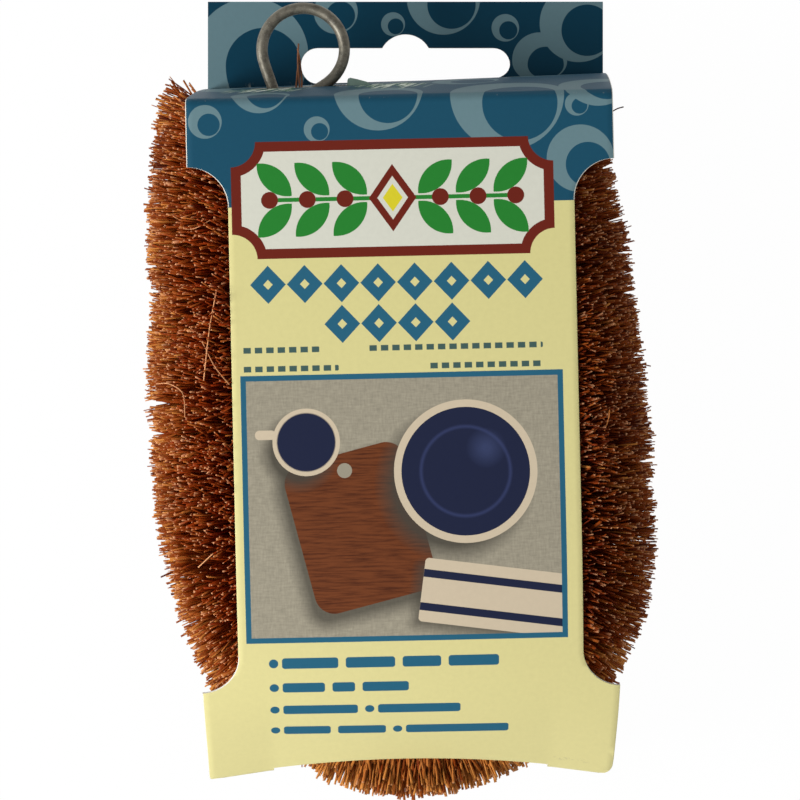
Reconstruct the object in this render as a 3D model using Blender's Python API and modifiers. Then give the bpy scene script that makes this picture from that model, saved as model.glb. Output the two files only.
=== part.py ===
"""A coir dish brush in its folded card sleeve.

One galvanised wire is folded in half. The fold is the hanging ring, and below it the two strands are twisted
round each other along a stem that bends into a U. Coir fibre is caught in the twist all along the stem, in
bundles that fill two lobes and the round bottom. A card blank is folded round the brush, and its header
stands up behind the ring.

The brush lies on its back. +Z is towards the front of the card, +Y towards the ring and the header, and the
origin is under the middle of the whole object. All values are in metres and radians.
"""

import math
import random

import bmesh
import bpy
from mathutils import Matrix, Vector, kdtree

# Between pieces that touch on the real brush
CLEARANCE = 0.0003

# Card sleeve
CARD_THICKNESS = 0.0005
SLEEVE_WIDTH = 0.0862
SLEEVE_DEPTH = 0.0460
SLEEVE_SHIFT = 0.0007
HEADER_HEIGHT = 0.0177
TOP_PANEL_DROP = 0.0077
TOP_FOLD_RADIUS = 0.0020
BOTTOM_FOLD_RADIUS = 0.0012
BACK_FOLD_RADIUS = 0.0010
GLUE_FLAP_HEIGHT = 0.0150
GLUE_THICKNESS = 0.0001
UPPER_CURVE_RADIUS = 0.155
UPPER_CURVE_BEND = math.radians(10)
LOWER_CURVE_RADIUS = 0.040
LOWER_CURVE_BEND = math.radians(26)
FRONT_CURVE_STEPS = 4
FRONT_SLOPE_LENGTH = 0.0136
BRUSH_BELOW_CARD = 0.0050
BOTTOM_PANEL_RISE = 0.0012
WAIST_WIDTH = 0.0698
WAIST_TOP_DROP = 0.0137
FLARE_HEIGHT = 0.0197
FLARE_WIDTH = 0.0849
FLARE_BOTTOM_WIDTH = 0.0837
FLARE_CORNER_RADIUS = 0.0025
EURO_SLOT_LENGTH = 0.0456
EURO_SLOT_HEIGHT = 0.0072
EURO_SLOT_DROP = 0.0101
EURO_BUMP_RADIUS = 0.0058
EURO_BUMP_HEIGHT = 0.0030
BOTTOM_WINDOW_WIDTH = 0.0568
BOTTOM_WINDOW_ABOVE_FOLD = 0.0015
BOTTOM_WINDOW_ARCH = 0.0025
RING_SLOT_LENGTH_SPARE = 0.0012
RING_SLOT_WIDTH_SPARE = 0.0012
NOTCH_STEPS = 8
CORNER_STEPS = 4
SLOT_END_STEPS = 8
WINDOW_STEPS = 12

# Wire
WIRE_DIAMETER = 0.0024
STRAND_GAP = 0.0006
TWIST_PITCH = 0.0180
TWIST_EASE = 0.0100
POINTS_PER_TURN = 9
RING_OUTER_DIAMETER = 0.0197
RING_ASIDE = 0.0038
RING_ABOVE_NECK = 0.0140
RING_ARC_STEPS = 24
RING_LEG_POINTS = 5
WIRE_BEVEL_RESOLUTION = 2
WIRE_END_LENGTH = 0.0020

# Stem of the brush: two legs that lean together, and a round bottom
NECK_DROP = 0.0019
BEND_RADIUS = 0.0265
LEG_LENGTH = 0.0876
NECK_LENGTH = 0.0020
LEG_LEAN = math.radians(4.4)
BRUSH_TURN = math.radians(3.2)

# Coir fibre
FIBRE_REACH = 0.0265
LOBE_FLARE = math.radians(1.2)
# How much longer the fibre is cut, as a share of its reach, at shares of the stem's length
TRIM = (
    (0, 0), (0.255, 0), (0.305, -0.038), (0.338, -0.098), (0.362, -0.135), (0.380, -0.124), (0.397, -0.094),
    (0.455, -0.083), (0.474, -0.060), (0.484, -0.038), (0.500, 0), (0.692, 0), (0.737, 0.040), (0.928, 0.040),
    (0.965, 0), (1, 0),
)
BUNDLES_PER_LEG = 6
BUNDLES_IN_BEND = 6
RINGS_PER_BUNDLE = 3
STRANDS_PER_RING = 9
CORE_RADIUS = 0.0056
CORE_BEVEL_RESOLUTION = 2
CORE_SQUARE_END = 0.0005
STRAND_ROOT_THICKNESS = 0.0022
STRAND_TIP_THICKNESS = 0.0016
BEND_INNER_RADIUS = 0.0140
LOBE_GAP = 0.0010
TOP_FAN = math.radians(12)
TOP_FAN_LENGTH = 0.0180
STRAND_ANGLE_JITTER = math.radians(4)
STRAND_TILT_JITTER = math.radians(1.4)
SHORTEST_STRAND_SHARE = 0.95
REACH_STEP = 0.00025
SEED = 7

# Places and sizes that follow from these
TWIST_RADIUS = (WIRE_DIAMETER + STRAND_GAP) / 2
RING_RADIUS = (RING_OUTER_DIAMETER - WIRE_DIAMETER) / 2
CORE_FLATNESS = math.cos(math.pi / (4 + 2 * CORE_BEVEL_RESOLUTION))
BORE_RADIUS = (TWIST_RADIUS + WIRE_DIAMETER / 2 + CLEARANCE) / CORE_FLATNESS
STRAND_ROOT_RADIUS = (BORE_RADIUS + CORE_RADIUS * CORE_FLATNESS) / 2
BEND_LENGTH = BEND_RADIUS * (math.pi + 2 * LEG_LEAN)
LEG_AND_NECK = LEG_LENGTH + NECK_LENGTH
STEM_LENGTH = LEG_AND_NECK + BEND_LENGTH + LEG_LENGTH
NECK_AHEAD = LEG_AND_NECK * math.cos(LEG_LEAN) + BEND_RADIUS * math.sin(LEG_LEAN)
NECK_ACROSS = LEG_AND_NECK * math.sin(LEG_LEAN) - BEND_RADIUS * math.cos(LEG_LEAN)
NECK_RISE = NECK_AHEAD * math.cos(BRUSH_TURN) + NECK_ACROSS * math.sin(BRUSH_TURN)
BRUSH_LENGTH = NECK_RISE + BEND_RADIUS + FIBRE_REACH
OVERALL_LENGTH = HEADER_HEIGHT + TOP_PANEL_DROP + NECK_DROP + BRUSH_LENGTH
HEADER_TOP_Y = OVERALL_LENGTH / 2
REAR_FOLD_Y = HEADER_TOP_Y - HEADER_HEIGHT
TOP_FOLD_Y = REAR_FOLD_Y - TOP_PANEL_DROP
BEND_CENTRE = Vector((0, TOP_FOLD_Y - NECK_DROP - NECK_RISE, SLEEVE_DEPTH / 2))
BOTTOM_FOLD_Y = BEND_CENTRE.y - BEND_RADIUS - FIBRE_REACH + BRUSH_BELOW_CARD
ALONG_X = Matrix(((0, 0, 1, 0), (1, 0, 0, 0), (0, 1, 0, 0), (0, 0, 0, 1)))
ALONG_Y = Matrix(((1, 0, 0, 0), (0, 0, -1, 0), (0, 1, 0, 0), (0, 0, 0, 1)))


def clear_scene():
    for obj in list(bpy.data.objects):
        bpy.data.objects.remove(obj)


def new_collection(name):
    made = bpy.data.collections.new(name)
    bpy.context.scene.collection.children.link(made)
    return made


def new_material(name, colour, roughness, metallic=0.0):
    made = bpy.data.materials.new(name)
    made.use_nodes = True
    shader = made.node_tree.nodes["Principled BSDF"]
    shader.inputs["Base Color"].default_value = (*colour, 1)
    shader.inputs["Roughness"].default_value = roughness
    shader.inputs["Metallic"].default_value = metallic
    made.diffuse_color = (*colour, 1)
    return made


def add_object(name, data, collection, material=None, place=None):
    obj = bpy.data.objects.new(name, data)
    collection.objects.link(obj)
    if place is not None:
        obj.matrix_world = place
    if material is not None:
        data.materials.append(material)
    return obj


def curve_to_mesh(obj, material):
    """Replaces a curve object by a mesh object of the same name and place, with its caps welded on."""
    bpy.context.view_layer.update()
    mesh = bpy.data.meshes.new_from_object(obj.evaluated_get(bpy.context.evaluated_depsgraph_get()))
    name, place, collection = obj.name, obj.matrix_world.copy(), obj.users_collection[0]
    bpy.data.objects.remove(obj)
    welded = bmesh.new()
    welded.from_mesh(mesh)
    bmesh.ops.remove_doubles(welded, verts=welded.verts, dist=1e-6)
    bmesh.ops.recalc_face_normals(welded, faces=welded.faces)
    welded.to_mesh(mesh)
    welded.free()
    mesh.materials.clear()
    return add_object(name, mesh, collection, material, place)


def poly_spline(curve, points, cyclic=False):
    spline = curve.splines.new("POLY")
    spline.points.add(len(points) - 1)
    for spline_point, point in zip(spline.points, points):
        spline_point.co = (*point, 1) if len(point) == 3 else (*point, 0, 1)
    spline.use_cyclic_u = cyclic


def tube(name, points, radius, resolution, collection, material=None):
    """A round tube with closed ends along the points."""
    curve = bpy.data.curves.new(name, "CURVE")
    curve.dimensions = "3D"
    curve.bevel_depth = radius
    curve.bevel_resolution = resolution
    curve.use_fill_caps = True
    poly_spline(curve, points)
    return curve_to_mesh(add_object(name, curve, collection), material)


def plate(name, outlines, low, high, collection, material=None, axes=Matrix.Identity(4)):
    """A flat solid between two heights. Its first outline is the rim, and any others are holes."""
    curve = bpy.data.curves.new(name, "CURVE")
    curve.dimensions = "2D"
    curve.fill_mode = "BOTH"
    curve.extrude = (high - low) / 2
    for outline in outlines:
        poly_spline(curve, outline, cyclic=True)
    place = axes @ Matrix.Translation((0, 0, (low + high) / 2))
    return curve_to_mesh(add_object(name, curve, collection, place=place), material)


def folded_strip(name, line, low, high, thickness, collection, material, axes):
    """A sheet whose outer side follows a line, with the thickness inside it."""
    curve = bpy.data.curves.new(name, "CURVE")
    curve.dimensions = "2D"
    curve.extrude = (high - low) / 2
    poly_spline(curve, line)
    place = axes @ Matrix.Translation((0, 0, (low + high) / 2))
    strip = curve_to_mesh(add_object(name, curve, collection, place=place), material)
    solidify = strip.modifiers.new("thickness", "SOLIDIFY")
    solidify.thickness = thickness
    solidify.offset = -1
    solidify.use_even_offset = True
    return strip


def boolean(obj, operation, other):
    other.hide_render = True
    other.display_type = "WIRE"
    modifier = obj.modifiers.new(other.name, "BOOLEAN")
    modifier.operation = operation
    modifier.solver = "EXACT"
    modifier.object = other


def arc(centre, radius, start, end, steps):
    """Points along an arc in a plane, both ends included."""
    turns = [start + (end - start) * step / steps for step in range(steps + 1)]
    return [(centre[0] + radius * math.cos(turn), centre[1] + radius * math.sin(turn)) for turn in turns]


def rounded(corners, radii):
    """A closed outline whose corners are arcs of the given radii. A radius of zero leaves a corner sharp."""
    outline = []
    for index, radius in enumerate(radii):
        here = Vector(corners[index])
        if radius <= 0:
            outline.append(tuple(here))
            continue
        back = (Vector(corners[index - 1]) - here).normalized()
        ahead = (Vector(corners[(index + 1) % len(corners)]) - here).normalized()
        half = back.angle(ahead) / 2
        centre = here + (back + ahead).normalized() * radius / math.sin(half)
        start = here + back * radius / math.tan(half) - centre
        end = here + ahead * radius / math.tan(half) - centre
        first = math.atan2(start.y, start.x)
        turn = math.atan2(start.cross(end), start.dot(end))
        outline += arc(centre, radius, first, first + turn, CORNER_STEPS)
    return outline


def slot_outline(centre, length, height):
    """A slot with round ends, counter-clockwise."""
    radius, quarter = height / 2, math.pi / 2
    reach = length / 2 - radius
    right = arc((centre[0] + reach, centre[1]), radius, -quarter, quarter, SLOT_END_STEPS)
    return right + arc((centre[0] - reach, centre[1]), radius, quarter, 3 * quarter, SLOT_END_STEPS)


def offset_inward(outline, distance):
    """A counter-clockwise outline moved inward by a distance, with mitred corners."""
    moved = []
    for index, corner in enumerate(outline):
        here = Vector(corner)
        into = (here - Vector(outline[index - 1])).normalized()
        out_of = (Vector(outline[(index + 1) % len(outline)]) - here).normalized()
        mitre = Vector((-into.y - out_of.y, into.x + out_of.x))
        moved.append(tuple(here + mitre * 2 * distance / mitre.length_squared))
    return moved


def front_face():
    """The front panel from the side, as (y, z), from the end of its flat part to the bottom fold."""
    curves = ((UPPER_CURVE_RADIUS, UPPER_CURVE_BEND), (LOWER_CURVE_RADIUS, LOWER_CURVE_BEND))
    points, slope = [(0, SLEEVE_DEPTH)], 0
    for radius, bend in curves:
        y, z = points[-1]
        centre = (y + radius * math.sin(slope), z - radius * math.cos(slope))
        start = math.pi / 2 + slope
        points += arc(centre, radius, start, start + bend, FRONT_CURVE_STEPS)[1:]
        slope += bend
    y, z = points[-1]
    points.append((y - FRONT_SLOPE_LENGTH * math.cos(slope), z - FRONT_SLOPE_LENGTH * math.sin(slope)))
    flat_end = BOTTOM_FOLD_Y - points[-1][0]
    return [(flat_end + y, z) for y, z in points]


def card_corners():
    """The outer side of the folded card as (y, z), and the radius of each fold, from the glue flap's end
    round the brush to the header's top."""
    front = front_face()
    flap_z = CARD_THICKNESS + GLUE_THICKNESS
    corners = [(REAR_FOLD_Y - GLUE_FLAP_HEIGHT, flap_z), (REAR_FOLD_Y, flap_z), (TOP_FOLD_Y, SLEEVE_DEPTH)]
    corners += [*front, (BOTTOM_FOLD_Y + BOTTOM_PANEL_RISE, 0), (HEADER_TOP_Y, 0)]
    radii = [0, 0, TOP_FOLD_RADIUS] + [0] * (len(front) - 1) + [BOTTOM_FOLD_RADIUS, BACK_FOLD_RADIUS, 0]
    return corners, radii


def window_edge(across):
    """The arched upper edge of the bottom window, as y at a distance from the sleeve's middle."""
    share = across / (BOTTOM_WINDOW_WIDTH / 2)
    return BOTTOM_FOLD_Y + BOTTOM_WINDOW_ABOVE_FOLD + BOTTOM_WINDOW_ARCH * (1 - share**2)


def side_cutter(side, collection):
    """What is trimmed off one long side of the blank: the waist's notch and the taper below it."""
    edge, waist, flare, bottom = (
        side * width / 2 for width in (SLEEVE_WIDTH, WAIST_WIDTH, FLARE_WIDTH, FLARE_BOTTOM_WIDTH)
    )
    outer, below = 2 * edge, BOTTOM_FOLD_Y - SLEEVE_DEPTH
    notch_start = edge + side * CLEARANCE
    top, foot = TOP_FOLD_Y - WAIST_TOP_DROP, BOTTOM_FOLD_Y + FLARE_HEIGHT
    upper, lower, corner = abs(notch_start - waist), abs(flare - waist), FLARE_CORNER_RADIUS
    quarter = math.pi / 2
    inward, outward = (math.pi, 0) if side > 0 else (0, math.pi)
    turn = side * quarter
    corner_centre = (bottom - side * corner, BOTTOM_FOLD_Y + corner)
    outline = [(outer, top)]
    outline += arc((notch_start, top - upper), upper, quarter, quarter + turn, NOTCH_STEPS)
    outline += arc((flare, foot + lower), lower, inward, inward + turn, NOTCH_STEPS)
    outline += arc(corner_centre, corner, outward, outward - turn, CORNER_STEPS)
    outline += [(corner_centre[0], below), (outer, below)]
    outline = [(x + SLEEVE_SHIFT, y) for x, y in outline]
    return plate(f"side_cutter_{side}", [outline], -SLEEVE_DEPTH, 2 * SLEEVE_DEPTH, collection)


def header_cutters(cutters):
    """The euro slot in the header: a long slot with a round bump in the middle of its upper edge."""
    slot_top = HEADER_TOP_Y - EURO_SLOT_DROP
    slot = slot_outline((SLEEVE_SHIFT, slot_top - EURO_SLOT_HEIGHT / 2), EURO_SLOT_LENGTH, EURO_SLOT_HEIGHT)
    bump_centre = (SLEEVE_SHIFT, slot_top + EURO_BUMP_HEIGHT - EURO_BUMP_RADIUS)
    bump = arc(bump_centre, EURO_BUMP_RADIUS, 0, math.pi, 2 * SLOT_END_STEPS)
    low, high = -CARD_THICKNESS, 2 * CARD_THICKNESS
    return [
        plate("euro_slot_cutter", [slot], low, high, cutters),
        plate("euro_bump_cutter", [bump], low, high, cutters),
    ]


def ring_slot_cutter(cutters):
    """The slot in the top panel that the hanging ring comes out through."""
    middle = ring_centre()
    length = RING_OUTER_DIAMETER + RING_SLOT_LENGTH_SPARE
    slot = slot_outline((middle.x, middle.z), length, WIRE_DIAMETER + RING_SLOT_WIDTH_SPARE)
    return plate("ring_slot_cutter", [slot], -REAR_FOLD_Y, -TOP_FOLD_Y, cutters, axes=ALONG_Y)


def window_cutter(cutters):
    """The open middle of the bottom panel, whose upper edge is a low arch."""
    half = BOTTOM_WINDOW_WIDTH / 2
    across = [half - BOTTOM_WINDOW_WIDTH * step / WINDOW_STEPS for step in range(WINDOW_STEPS + 1)]
    window = [(SLEEVE_SHIFT + x, window_edge(abs(x))) for x in across]
    below = BOTTOM_FOLD_Y - SLEEVE_DEPTH
    window += [(SLEEVE_SHIFT - half, below), (SLEEVE_SHIFT + half, below)]
    return plate("window_cutter", [window], CARD_THICKNESS + CLEARANCE, SLEEVE_DEPTH, cutters)


def make_sleeve(parts, cutters, material):
    low, high = SLEEVE_SHIFT - SLEEVE_WIDTH / 2, SLEEVE_SHIFT + SLEEVE_WIDTH / 2
    line = rounded(*card_corners())
    sleeve = folded_strip("card_sleeve", line, low, high, CARD_THICKNESS, parts, material, ALONG_X)
    sides = [side_cutter(side, cutters) for side in (-1, 1)]
    for cutter in [*sides, *header_cutters(cutters), ring_slot_cutter(cutters), window_cutter(cutters)]:
        boolean(sleeve, "DIFFERENCE", cutter)
    return sleeve


def stem_frame(distance):
    """Place, direction and outward side of the stem at a distance from the neck below the ring."""
    lean_up = Vector((math.sin(LEG_LEAN), math.cos(LEG_LEAN), 0))
    if distance < LEG_AND_NECK:
        direction = -lean_up
        place = BEND_RADIUS * Vector((-lean_up.y, lean_up.x, 0)) - direction * (LEG_AND_NECK - distance)
    elif distance < LEG_AND_NECK + BEND_LENGTH:
        turn = math.pi - LEG_LEAN + (distance - LEG_AND_NECK) / BEND_RADIUS
        direction = Vector((-math.sin(turn), math.cos(turn), 0))
        place = BEND_RADIUS * Vector((math.cos(turn), math.sin(turn), 0))
    else:
        direction = Vector((-lean_up.x, lean_up.y, 0))
        place = BEND_RADIUS * Vector((lean_up.y, lean_up.x, 0))
        place += direction * (distance - LEG_AND_NECK - BEND_LENGTH)
    turned = Matrix.Rotation(BRUSH_TURN, 3, "Z")
    direction = turned @ direction
    return BEND_CENTRE + turned @ place, direction, Vector((direction.y, -direction.x, 0))


def around_stem(side, angle):
    """The direction square to the stem at an angle from its outward side towards the front."""
    return math.cos(angle) * side + math.sin(angle) * Vector((0, 0, 1))


def twist_angle(distance):
    """How far the strands have turned round the stem. The twist starts gently at the neck."""
    eased = distance**2 / (2 * TWIST_EASE) if distance < TWIST_EASE else distance - TWIST_EASE / 2
    return 2 * math.pi * eased / TWIST_PITCH


def strand_of_wire(phase):
    """One strand's centre line along the whole stem, from the neck to its cut end."""
    length = STEM_LENGTH + WIRE_END_LENGTH
    count = round(length / TWIST_PITCH * POINTS_PER_TURN)
    points = []
    for step in range(count + 1):
        distance = length * step / count
        place, _, side = stem_frame(distance)
        points.append(place + TWIST_RADIUS * around_stem(side, twist_angle(distance) + phase))
    return points


def hermite(start, start_slope, end, end_slope, count):
    """Points strictly between the ends of a smooth curve."""
    points = []
    for step in range(1, count + 1):
        t = step / (count + 1)
        point = (2 * t**3 - 3 * t**2 + 1) * start + (t**3 - 2 * t**2 + t) * start_slope
        points.append(point + (3 * t**2 - 2 * t**3) * end + (t**3 - t**2) * end_slope)
    return points


def ring_centre():
    return stem_frame(0)[0] + Vector((RING_ASIDE, RING_ABOVE_NECK, 0))


def ring_leg(neck_end, side):
    """The wire from the neck up to the ring, and the angle on the ring where it arrives."""
    line = ring_centre() - neck_end
    length = math.sqrt(line.length_squared - RING_RADIUS**2)
    direction = Matrix.Rotation(side * math.asin(RING_RADIUS / line.length), 3, "Z") @ line.normalized()
    touch = neck_end + direction * length
    upward = -stem_frame(0)[1]
    points = hermite(neck_end, upward * length, touch, direction * length, RING_LEG_POINTS)
    from_centre = touch - ring_centre()
    return points, math.atan2(from_centre.y, from_centre.x) % (2 * math.pi)


def wire_route():
    """The centre line of the whole wire, from one cut end round the ring to the other."""
    left, right = strand_of_wire(0), strand_of_wire(math.pi)
    left_leg, left_angle = ring_leg(left[0], 1)
    right_leg, right_angle = ring_leg(right[0], -1)
    centre = ring_centre()
    loop = arc(centre, RING_RADIUS, left_angle, right_angle - 2 * math.pi, RING_ARC_STEPS)
    loop = [Vector((x, y, centre.z)) for x, y in loop]
    return left[::-1] + left_leg + loop + right_leg[::-1] + right


def print_least_gap(what, points, thicknesses, owners, apart):
    """Measures the least gap between samples whose owners are further apart than a number."""
    tree = kdtree.KDTree(len(points))
    for index, point in enumerate(points):
        tree.insert(point, index)
    tree.balance()
    least = math.inf
    for index, point in enumerate(points):
        for _, other, distance in tree.find_range(point, 3 * max(thicknesses)):
            if abs(owners[other] - owners[index]) > apart:
                least = min(least, distance - (thicknesses[index] + thicknesses[other]) / 2)
    print(f"{what}: least gap {least * 1000:.2f} mm")


def make_wire(parts, material):
    points = wire_route()
    along = list(range(len(points)))
    print_least_gap("Wire to itself", points, [WIRE_DIAMETER] * len(points), along, POINTS_PER_TURN // 2)
    wire = tube("twisted_wire", points, WIRE_DIAMETER / 2, WIRE_BEVEL_RESOLUTION, parts, material)
    wire.data.shade_smooth()
    return wire


def inner_walls():
    """The sleeve's inner sides as (start, direction) in (y, z), from the top panel to the bottom one."""
    corners = [Vector(corner) for corner in offset_inward(card_corners()[0][1:-1], CARD_THICKNESS)]
    return [(start, (end - start).normalized()) for start, end in zip(corners, corners[1:])]


def is_clear_of_card(point, margin, walls):
    """Whether a point between the front and back faces keeps a margin to the card."""
    back = 2 * CARD_THICKNESS + GLUE_THICKNESS
    if not back + margin <= point.z <= SLEEVE_DEPTH - CARD_THICKNESS - margin:
        return False
    across = abs(point.x - SLEEVE_SHIFT)
    if across > SLEEVE_WIDTH / 2 + margin:
        return point.y < REAR_FOLD_Y
    if across < BOTTOM_WINDOW_WIDTH / 2 - margin:
        if point.y < window_edge(across) - margin:
            return True
        walls = walls[:-1]
    seen = Vector((point.y, point.z))
    return all(direction.cross(seen - start) >= margin for start, direction in walls)


def is_clear_of_lobes(point, distance, margin):
    """Whether a point of a strand rooted at a distance along the stem stays on its own side of the brush."""
    local = Matrix.Rotation(-BRUSH_TURN, 3, "Z") @ (point - BEND_CENTRE)
    if distance < LEG_AND_NECK:
        return -local.x >= LOBE_GAP / 2 + margin
    if distance > LEG_AND_NECK + BEND_LENGTH:
        return local.x >= LOBE_GAP / 2 + margin
    return math.hypot(local.x, local.y) >= BEND_INNER_RADIUS


def strand_direction(distance, angle, tilt):
    """The way a strand points: square to the stem, with a tilt along it that grows towards a lobe's top."""
    _, direction, side = stem_frame(distance)
    on_left = distance < STEM_LENGTH / 2
    to_top = distance - NECK_LENGTH if on_left else STEM_LENGTH - distance
    fan = TOP_FAN * max(0, 1 - to_top / TOP_FAN_LENGTH)
    lean = tilt + (-fan if on_left else fan)
    return math.cos(lean) * around_stem(side, angle) + math.sin(lean) * direction


def trim_share(distance):
    """How much longer than its plain reach the fibre is at a distance along the stem, as a share of it."""
    share = distance / STEM_LENGTH
    for (start, first), (end, last) in zip(TRIM, TRIM[1:]):
        if share <= end:
            return first + (last - first) * (share - start) / (end - start)
    return TRIM[-1][1]


def strand_reach(distance):
    """How far from the stem the fibre is cut: a little further up each lobe, and less at the lower left."""
    from_middle = abs(distance - LEG_AND_NECK - BEND_LENGTH / 2)
    flare = math.tan(LOBE_FLARE) * max(0, from_middle - BEND_LENGTH / 2)
    return flare + FIBRE_REACH * (1 + trim_share(distance))


def strands_of_bundle(start, end, first_ring, walls, chance):
    """The root and tip of each strand of a bundle, trimmed where the card or the other lobe begins."""
    strands = []
    margin = STRAND_TIP_THICKNESS / 2 + CLEARANCE
    for ring in range(RINGS_PER_BUNDLE):
        distance = start + (end - start) * (ring + 0.5) / RINGS_PER_BUNDLE
        place = stem_frame(distance)[0]
        for index in range(STRANDS_PER_RING):
            turn = 2 * math.pi * (index + (first_ring + ring) % 2 / 2) / STRANDS_PER_RING
            angle = turn + chance.uniform(-1, 1) * STRAND_ANGLE_JITTER
            direction = strand_direction(distance, angle, chance.uniform(-1, 1) * STRAND_TILT_JITTER)
            longest = strand_reach(distance) * chance.uniform(SHORTEST_STRAND_SHARE, 1)
            reach = CORE_RADIUS
            while reach + REACH_STEP <= longest:
                ahead = place + direction * (reach + REACH_STEP)
                if not is_clear_of_card(ahead, margin, walls):
                    break
                if not is_clear_of_lobes(ahead, distance, margin):
                    break
                reach += REACH_STEP
            strands.append((place + direction * STRAND_ROOT_RADIUS, place + direction * reach))
    return strands


def add_strand(shape, root, tip, spin):
    line = tip - root
    place = Matrix.Translation((root + tip) / 2) @ line.to_track_quat("Z", "Y").to_matrix().to_4x4()
    bmesh.ops.create_cone(
        shape,
        cap_ends=True,
        segments=3,
        radius1=STRAND_ROOT_THICKNESS / 2,
        radius2=STRAND_TIP_THICKNESS / 2,
        depth=line.length,
        matrix=place @ Matrix.Rotation(spin, 4, "Z"),
    )


def core_line(start, end):
    """The middle line of a bundle's core, with short straight ends that set its end faces square."""
    first, last = start + CLEARANCE / 2, end - CLEARANCE / 2
    stops = [first, last]
    if last > LEG_AND_NECK and first < LEG_AND_NECK + BEND_LENGTH:
        third = (last - first) / 3
        stops = [first, first + CORE_SQUARE_END, first + third, last - third, last - CORE_SQUARE_END, last]
    return [stem_frame(stop)[0] for stop in stops]


def make_bundle(name, start, end, strands, chance, parts, cutters, material):
    """A length of packed fibre with a bore for the twisted wire, and its strands."""
    middle = core_line(start, end)
    bundle = tube(name, middle, CORE_RADIUS, CORE_BEVEL_RESOLUTION, parts, material)
    before, after = (middle[0] * 2 - middle[1]), (middle[-1] * 2 - middle[-2])
    bore = tube(f"{name}_bore", [before, *middle, after], BORE_RADIUS, CORE_BEVEL_RESOLUTION, cutters)
    shape = bmesh.new()
    for root, tip in strands:
        add_strand(shape, root, tip, chance.uniform(0, 2 * math.pi))
    mesh = bpy.data.meshes.new(f"{name}_strands")
    shape.to_mesh(mesh)
    shape.free()
    boolean(bundle, "DIFFERENCE", bore)
    boolean(bundle, "UNION", add_object(mesh.name, mesh, cutters))
    return bundle


def make_bundles(parts, cutters, material):
    """The fibre along the whole stem: down the left lobe, round the bottom and up the right lobe."""
    lengths = [LEG_LENGTH / BUNDLES_PER_LEG] * BUNDLES_PER_LEG
    names = [f"coir_left_{number + 1}" for number in range(BUNDLES_PER_LEG)]
    lengths += [BEND_LENGTH / BUNDLES_IN_BEND] * BUNDLES_IN_BEND
    names += [f"coir_bend_{number + 1}" for number in range(BUNDLES_IN_BEND)]
    lengths += [LEG_LENGTH / BUNDLES_PER_LEG] * BUNDLES_PER_LEG
    names += [f"coir_right_{number + 1}" for number in range(BUNDLES_PER_LEG)]
    chance = random.Random(SEED)
    walls = inner_walls()
    start = NECK_LENGTH
    samples, thicknesses, owners = [], [], []
    for number, (name, length) in enumerate(zip(names, lengths)):
        strands = strands_of_bundle(start, start + length, number * RINGS_PER_BUNDLE, walls, chance)
        make_bundle(name, start, start + length, strands, chance, parts, cutters, material)
        start += length
        for root, tip in strands:
            owner = owners[-1] + 1 if owners else 0
            count = math.ceil((tip - root).length / STRAND_TIP_THICKNESS)
            for step in range(count + 1):
                share = step / count
                samples.append(root.lerp(tip, share))
                thicknesses.append(STRAND_ROOT_THICKNESS * (1 - share) + STRAND_TIP_THICKNESS * share)
                owners.append(owner)
    print_least_gap(f"{owners[-1] + 1} strands", samples, thicknesses, owners, 0)


def main():
    clear_scene()
    parts, cutters = new_collection("dish_brush"), new_collection("cutters")
    make_sleeve(parts, cutters, new_material("printed_card", (0.03, 0.12, 0.18), 0.55))
    make_wire(parts, new_material("galvanised_wire", (0.24, 0.25, 0.23), 0.4, 0.9))
    make_bundles(parts, cutters, new_material("coir_fibre", (0.22, 0.08, 0.025), 0.8))


main()
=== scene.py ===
"""Looks of the coir dish brush in its folded card sleeve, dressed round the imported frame.

The brush lies on its back: +Z is towards the front of the card, +Y towards the hanging ring and the header.
Values are in metres and radians. The print on the card, the slits between the tufts, the loose fibres and the
lip at the ring's slot are in millimetres. The stem, the ring and the folded card follow the same sizes as the
frame's solids.
"""

import math

import bmesh
import bpy
import numpy as np
from mathutils import Matrix, Vector


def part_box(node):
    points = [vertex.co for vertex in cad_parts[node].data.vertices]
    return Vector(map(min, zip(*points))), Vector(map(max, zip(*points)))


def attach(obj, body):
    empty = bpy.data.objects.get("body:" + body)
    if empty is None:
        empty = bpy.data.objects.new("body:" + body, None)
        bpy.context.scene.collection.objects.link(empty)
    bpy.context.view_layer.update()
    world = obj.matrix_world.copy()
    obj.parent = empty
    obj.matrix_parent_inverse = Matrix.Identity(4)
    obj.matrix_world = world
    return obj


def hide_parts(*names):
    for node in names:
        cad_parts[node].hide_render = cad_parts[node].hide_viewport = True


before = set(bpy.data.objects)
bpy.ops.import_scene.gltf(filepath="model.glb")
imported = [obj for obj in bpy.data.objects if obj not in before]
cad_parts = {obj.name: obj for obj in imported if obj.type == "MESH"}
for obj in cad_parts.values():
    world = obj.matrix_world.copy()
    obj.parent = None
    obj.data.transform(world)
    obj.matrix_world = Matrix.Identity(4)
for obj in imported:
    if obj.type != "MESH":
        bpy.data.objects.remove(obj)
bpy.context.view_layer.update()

# Card, from the frame and from the folds of its solid
CARD_LOW, CARD_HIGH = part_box("card_sleeve")
SLEEVE_SHIFT = (CARD_LOW.x + CARD_HIGH.x) / 2
SLEEVE_WIDTH = CARD_HIGH.x - CARD_LOW.x
SLEEVE_DEPTH = CARD_HIGH.z - CARD_LOW.z
HEADER_TOP_Y = CARD_HIGH.y
BOTTOM_FOLD_Y = CARD_LOW.y
CARD_THICKNESS = 0.0005
GLUE_THICKNESS = 0.0001
REAR_FOLD_Y = HEADER_TOP_Y - 0.0177
TOP_FOLD_Y = REAR_FOLD_Y - 0.0077
TOP_FOLD_RADIUS = 0.0020
BOTTOM_FOLD_RADIUS = 0.0012
BACK_FOLD_RADIUS = 0.0010
GLUE_FLAP_HEIGHT = 0.0150
UPPER_CURVE_RADIUS, UPPER_CURVE_BEND = 0.155, math.radians(10)
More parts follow.
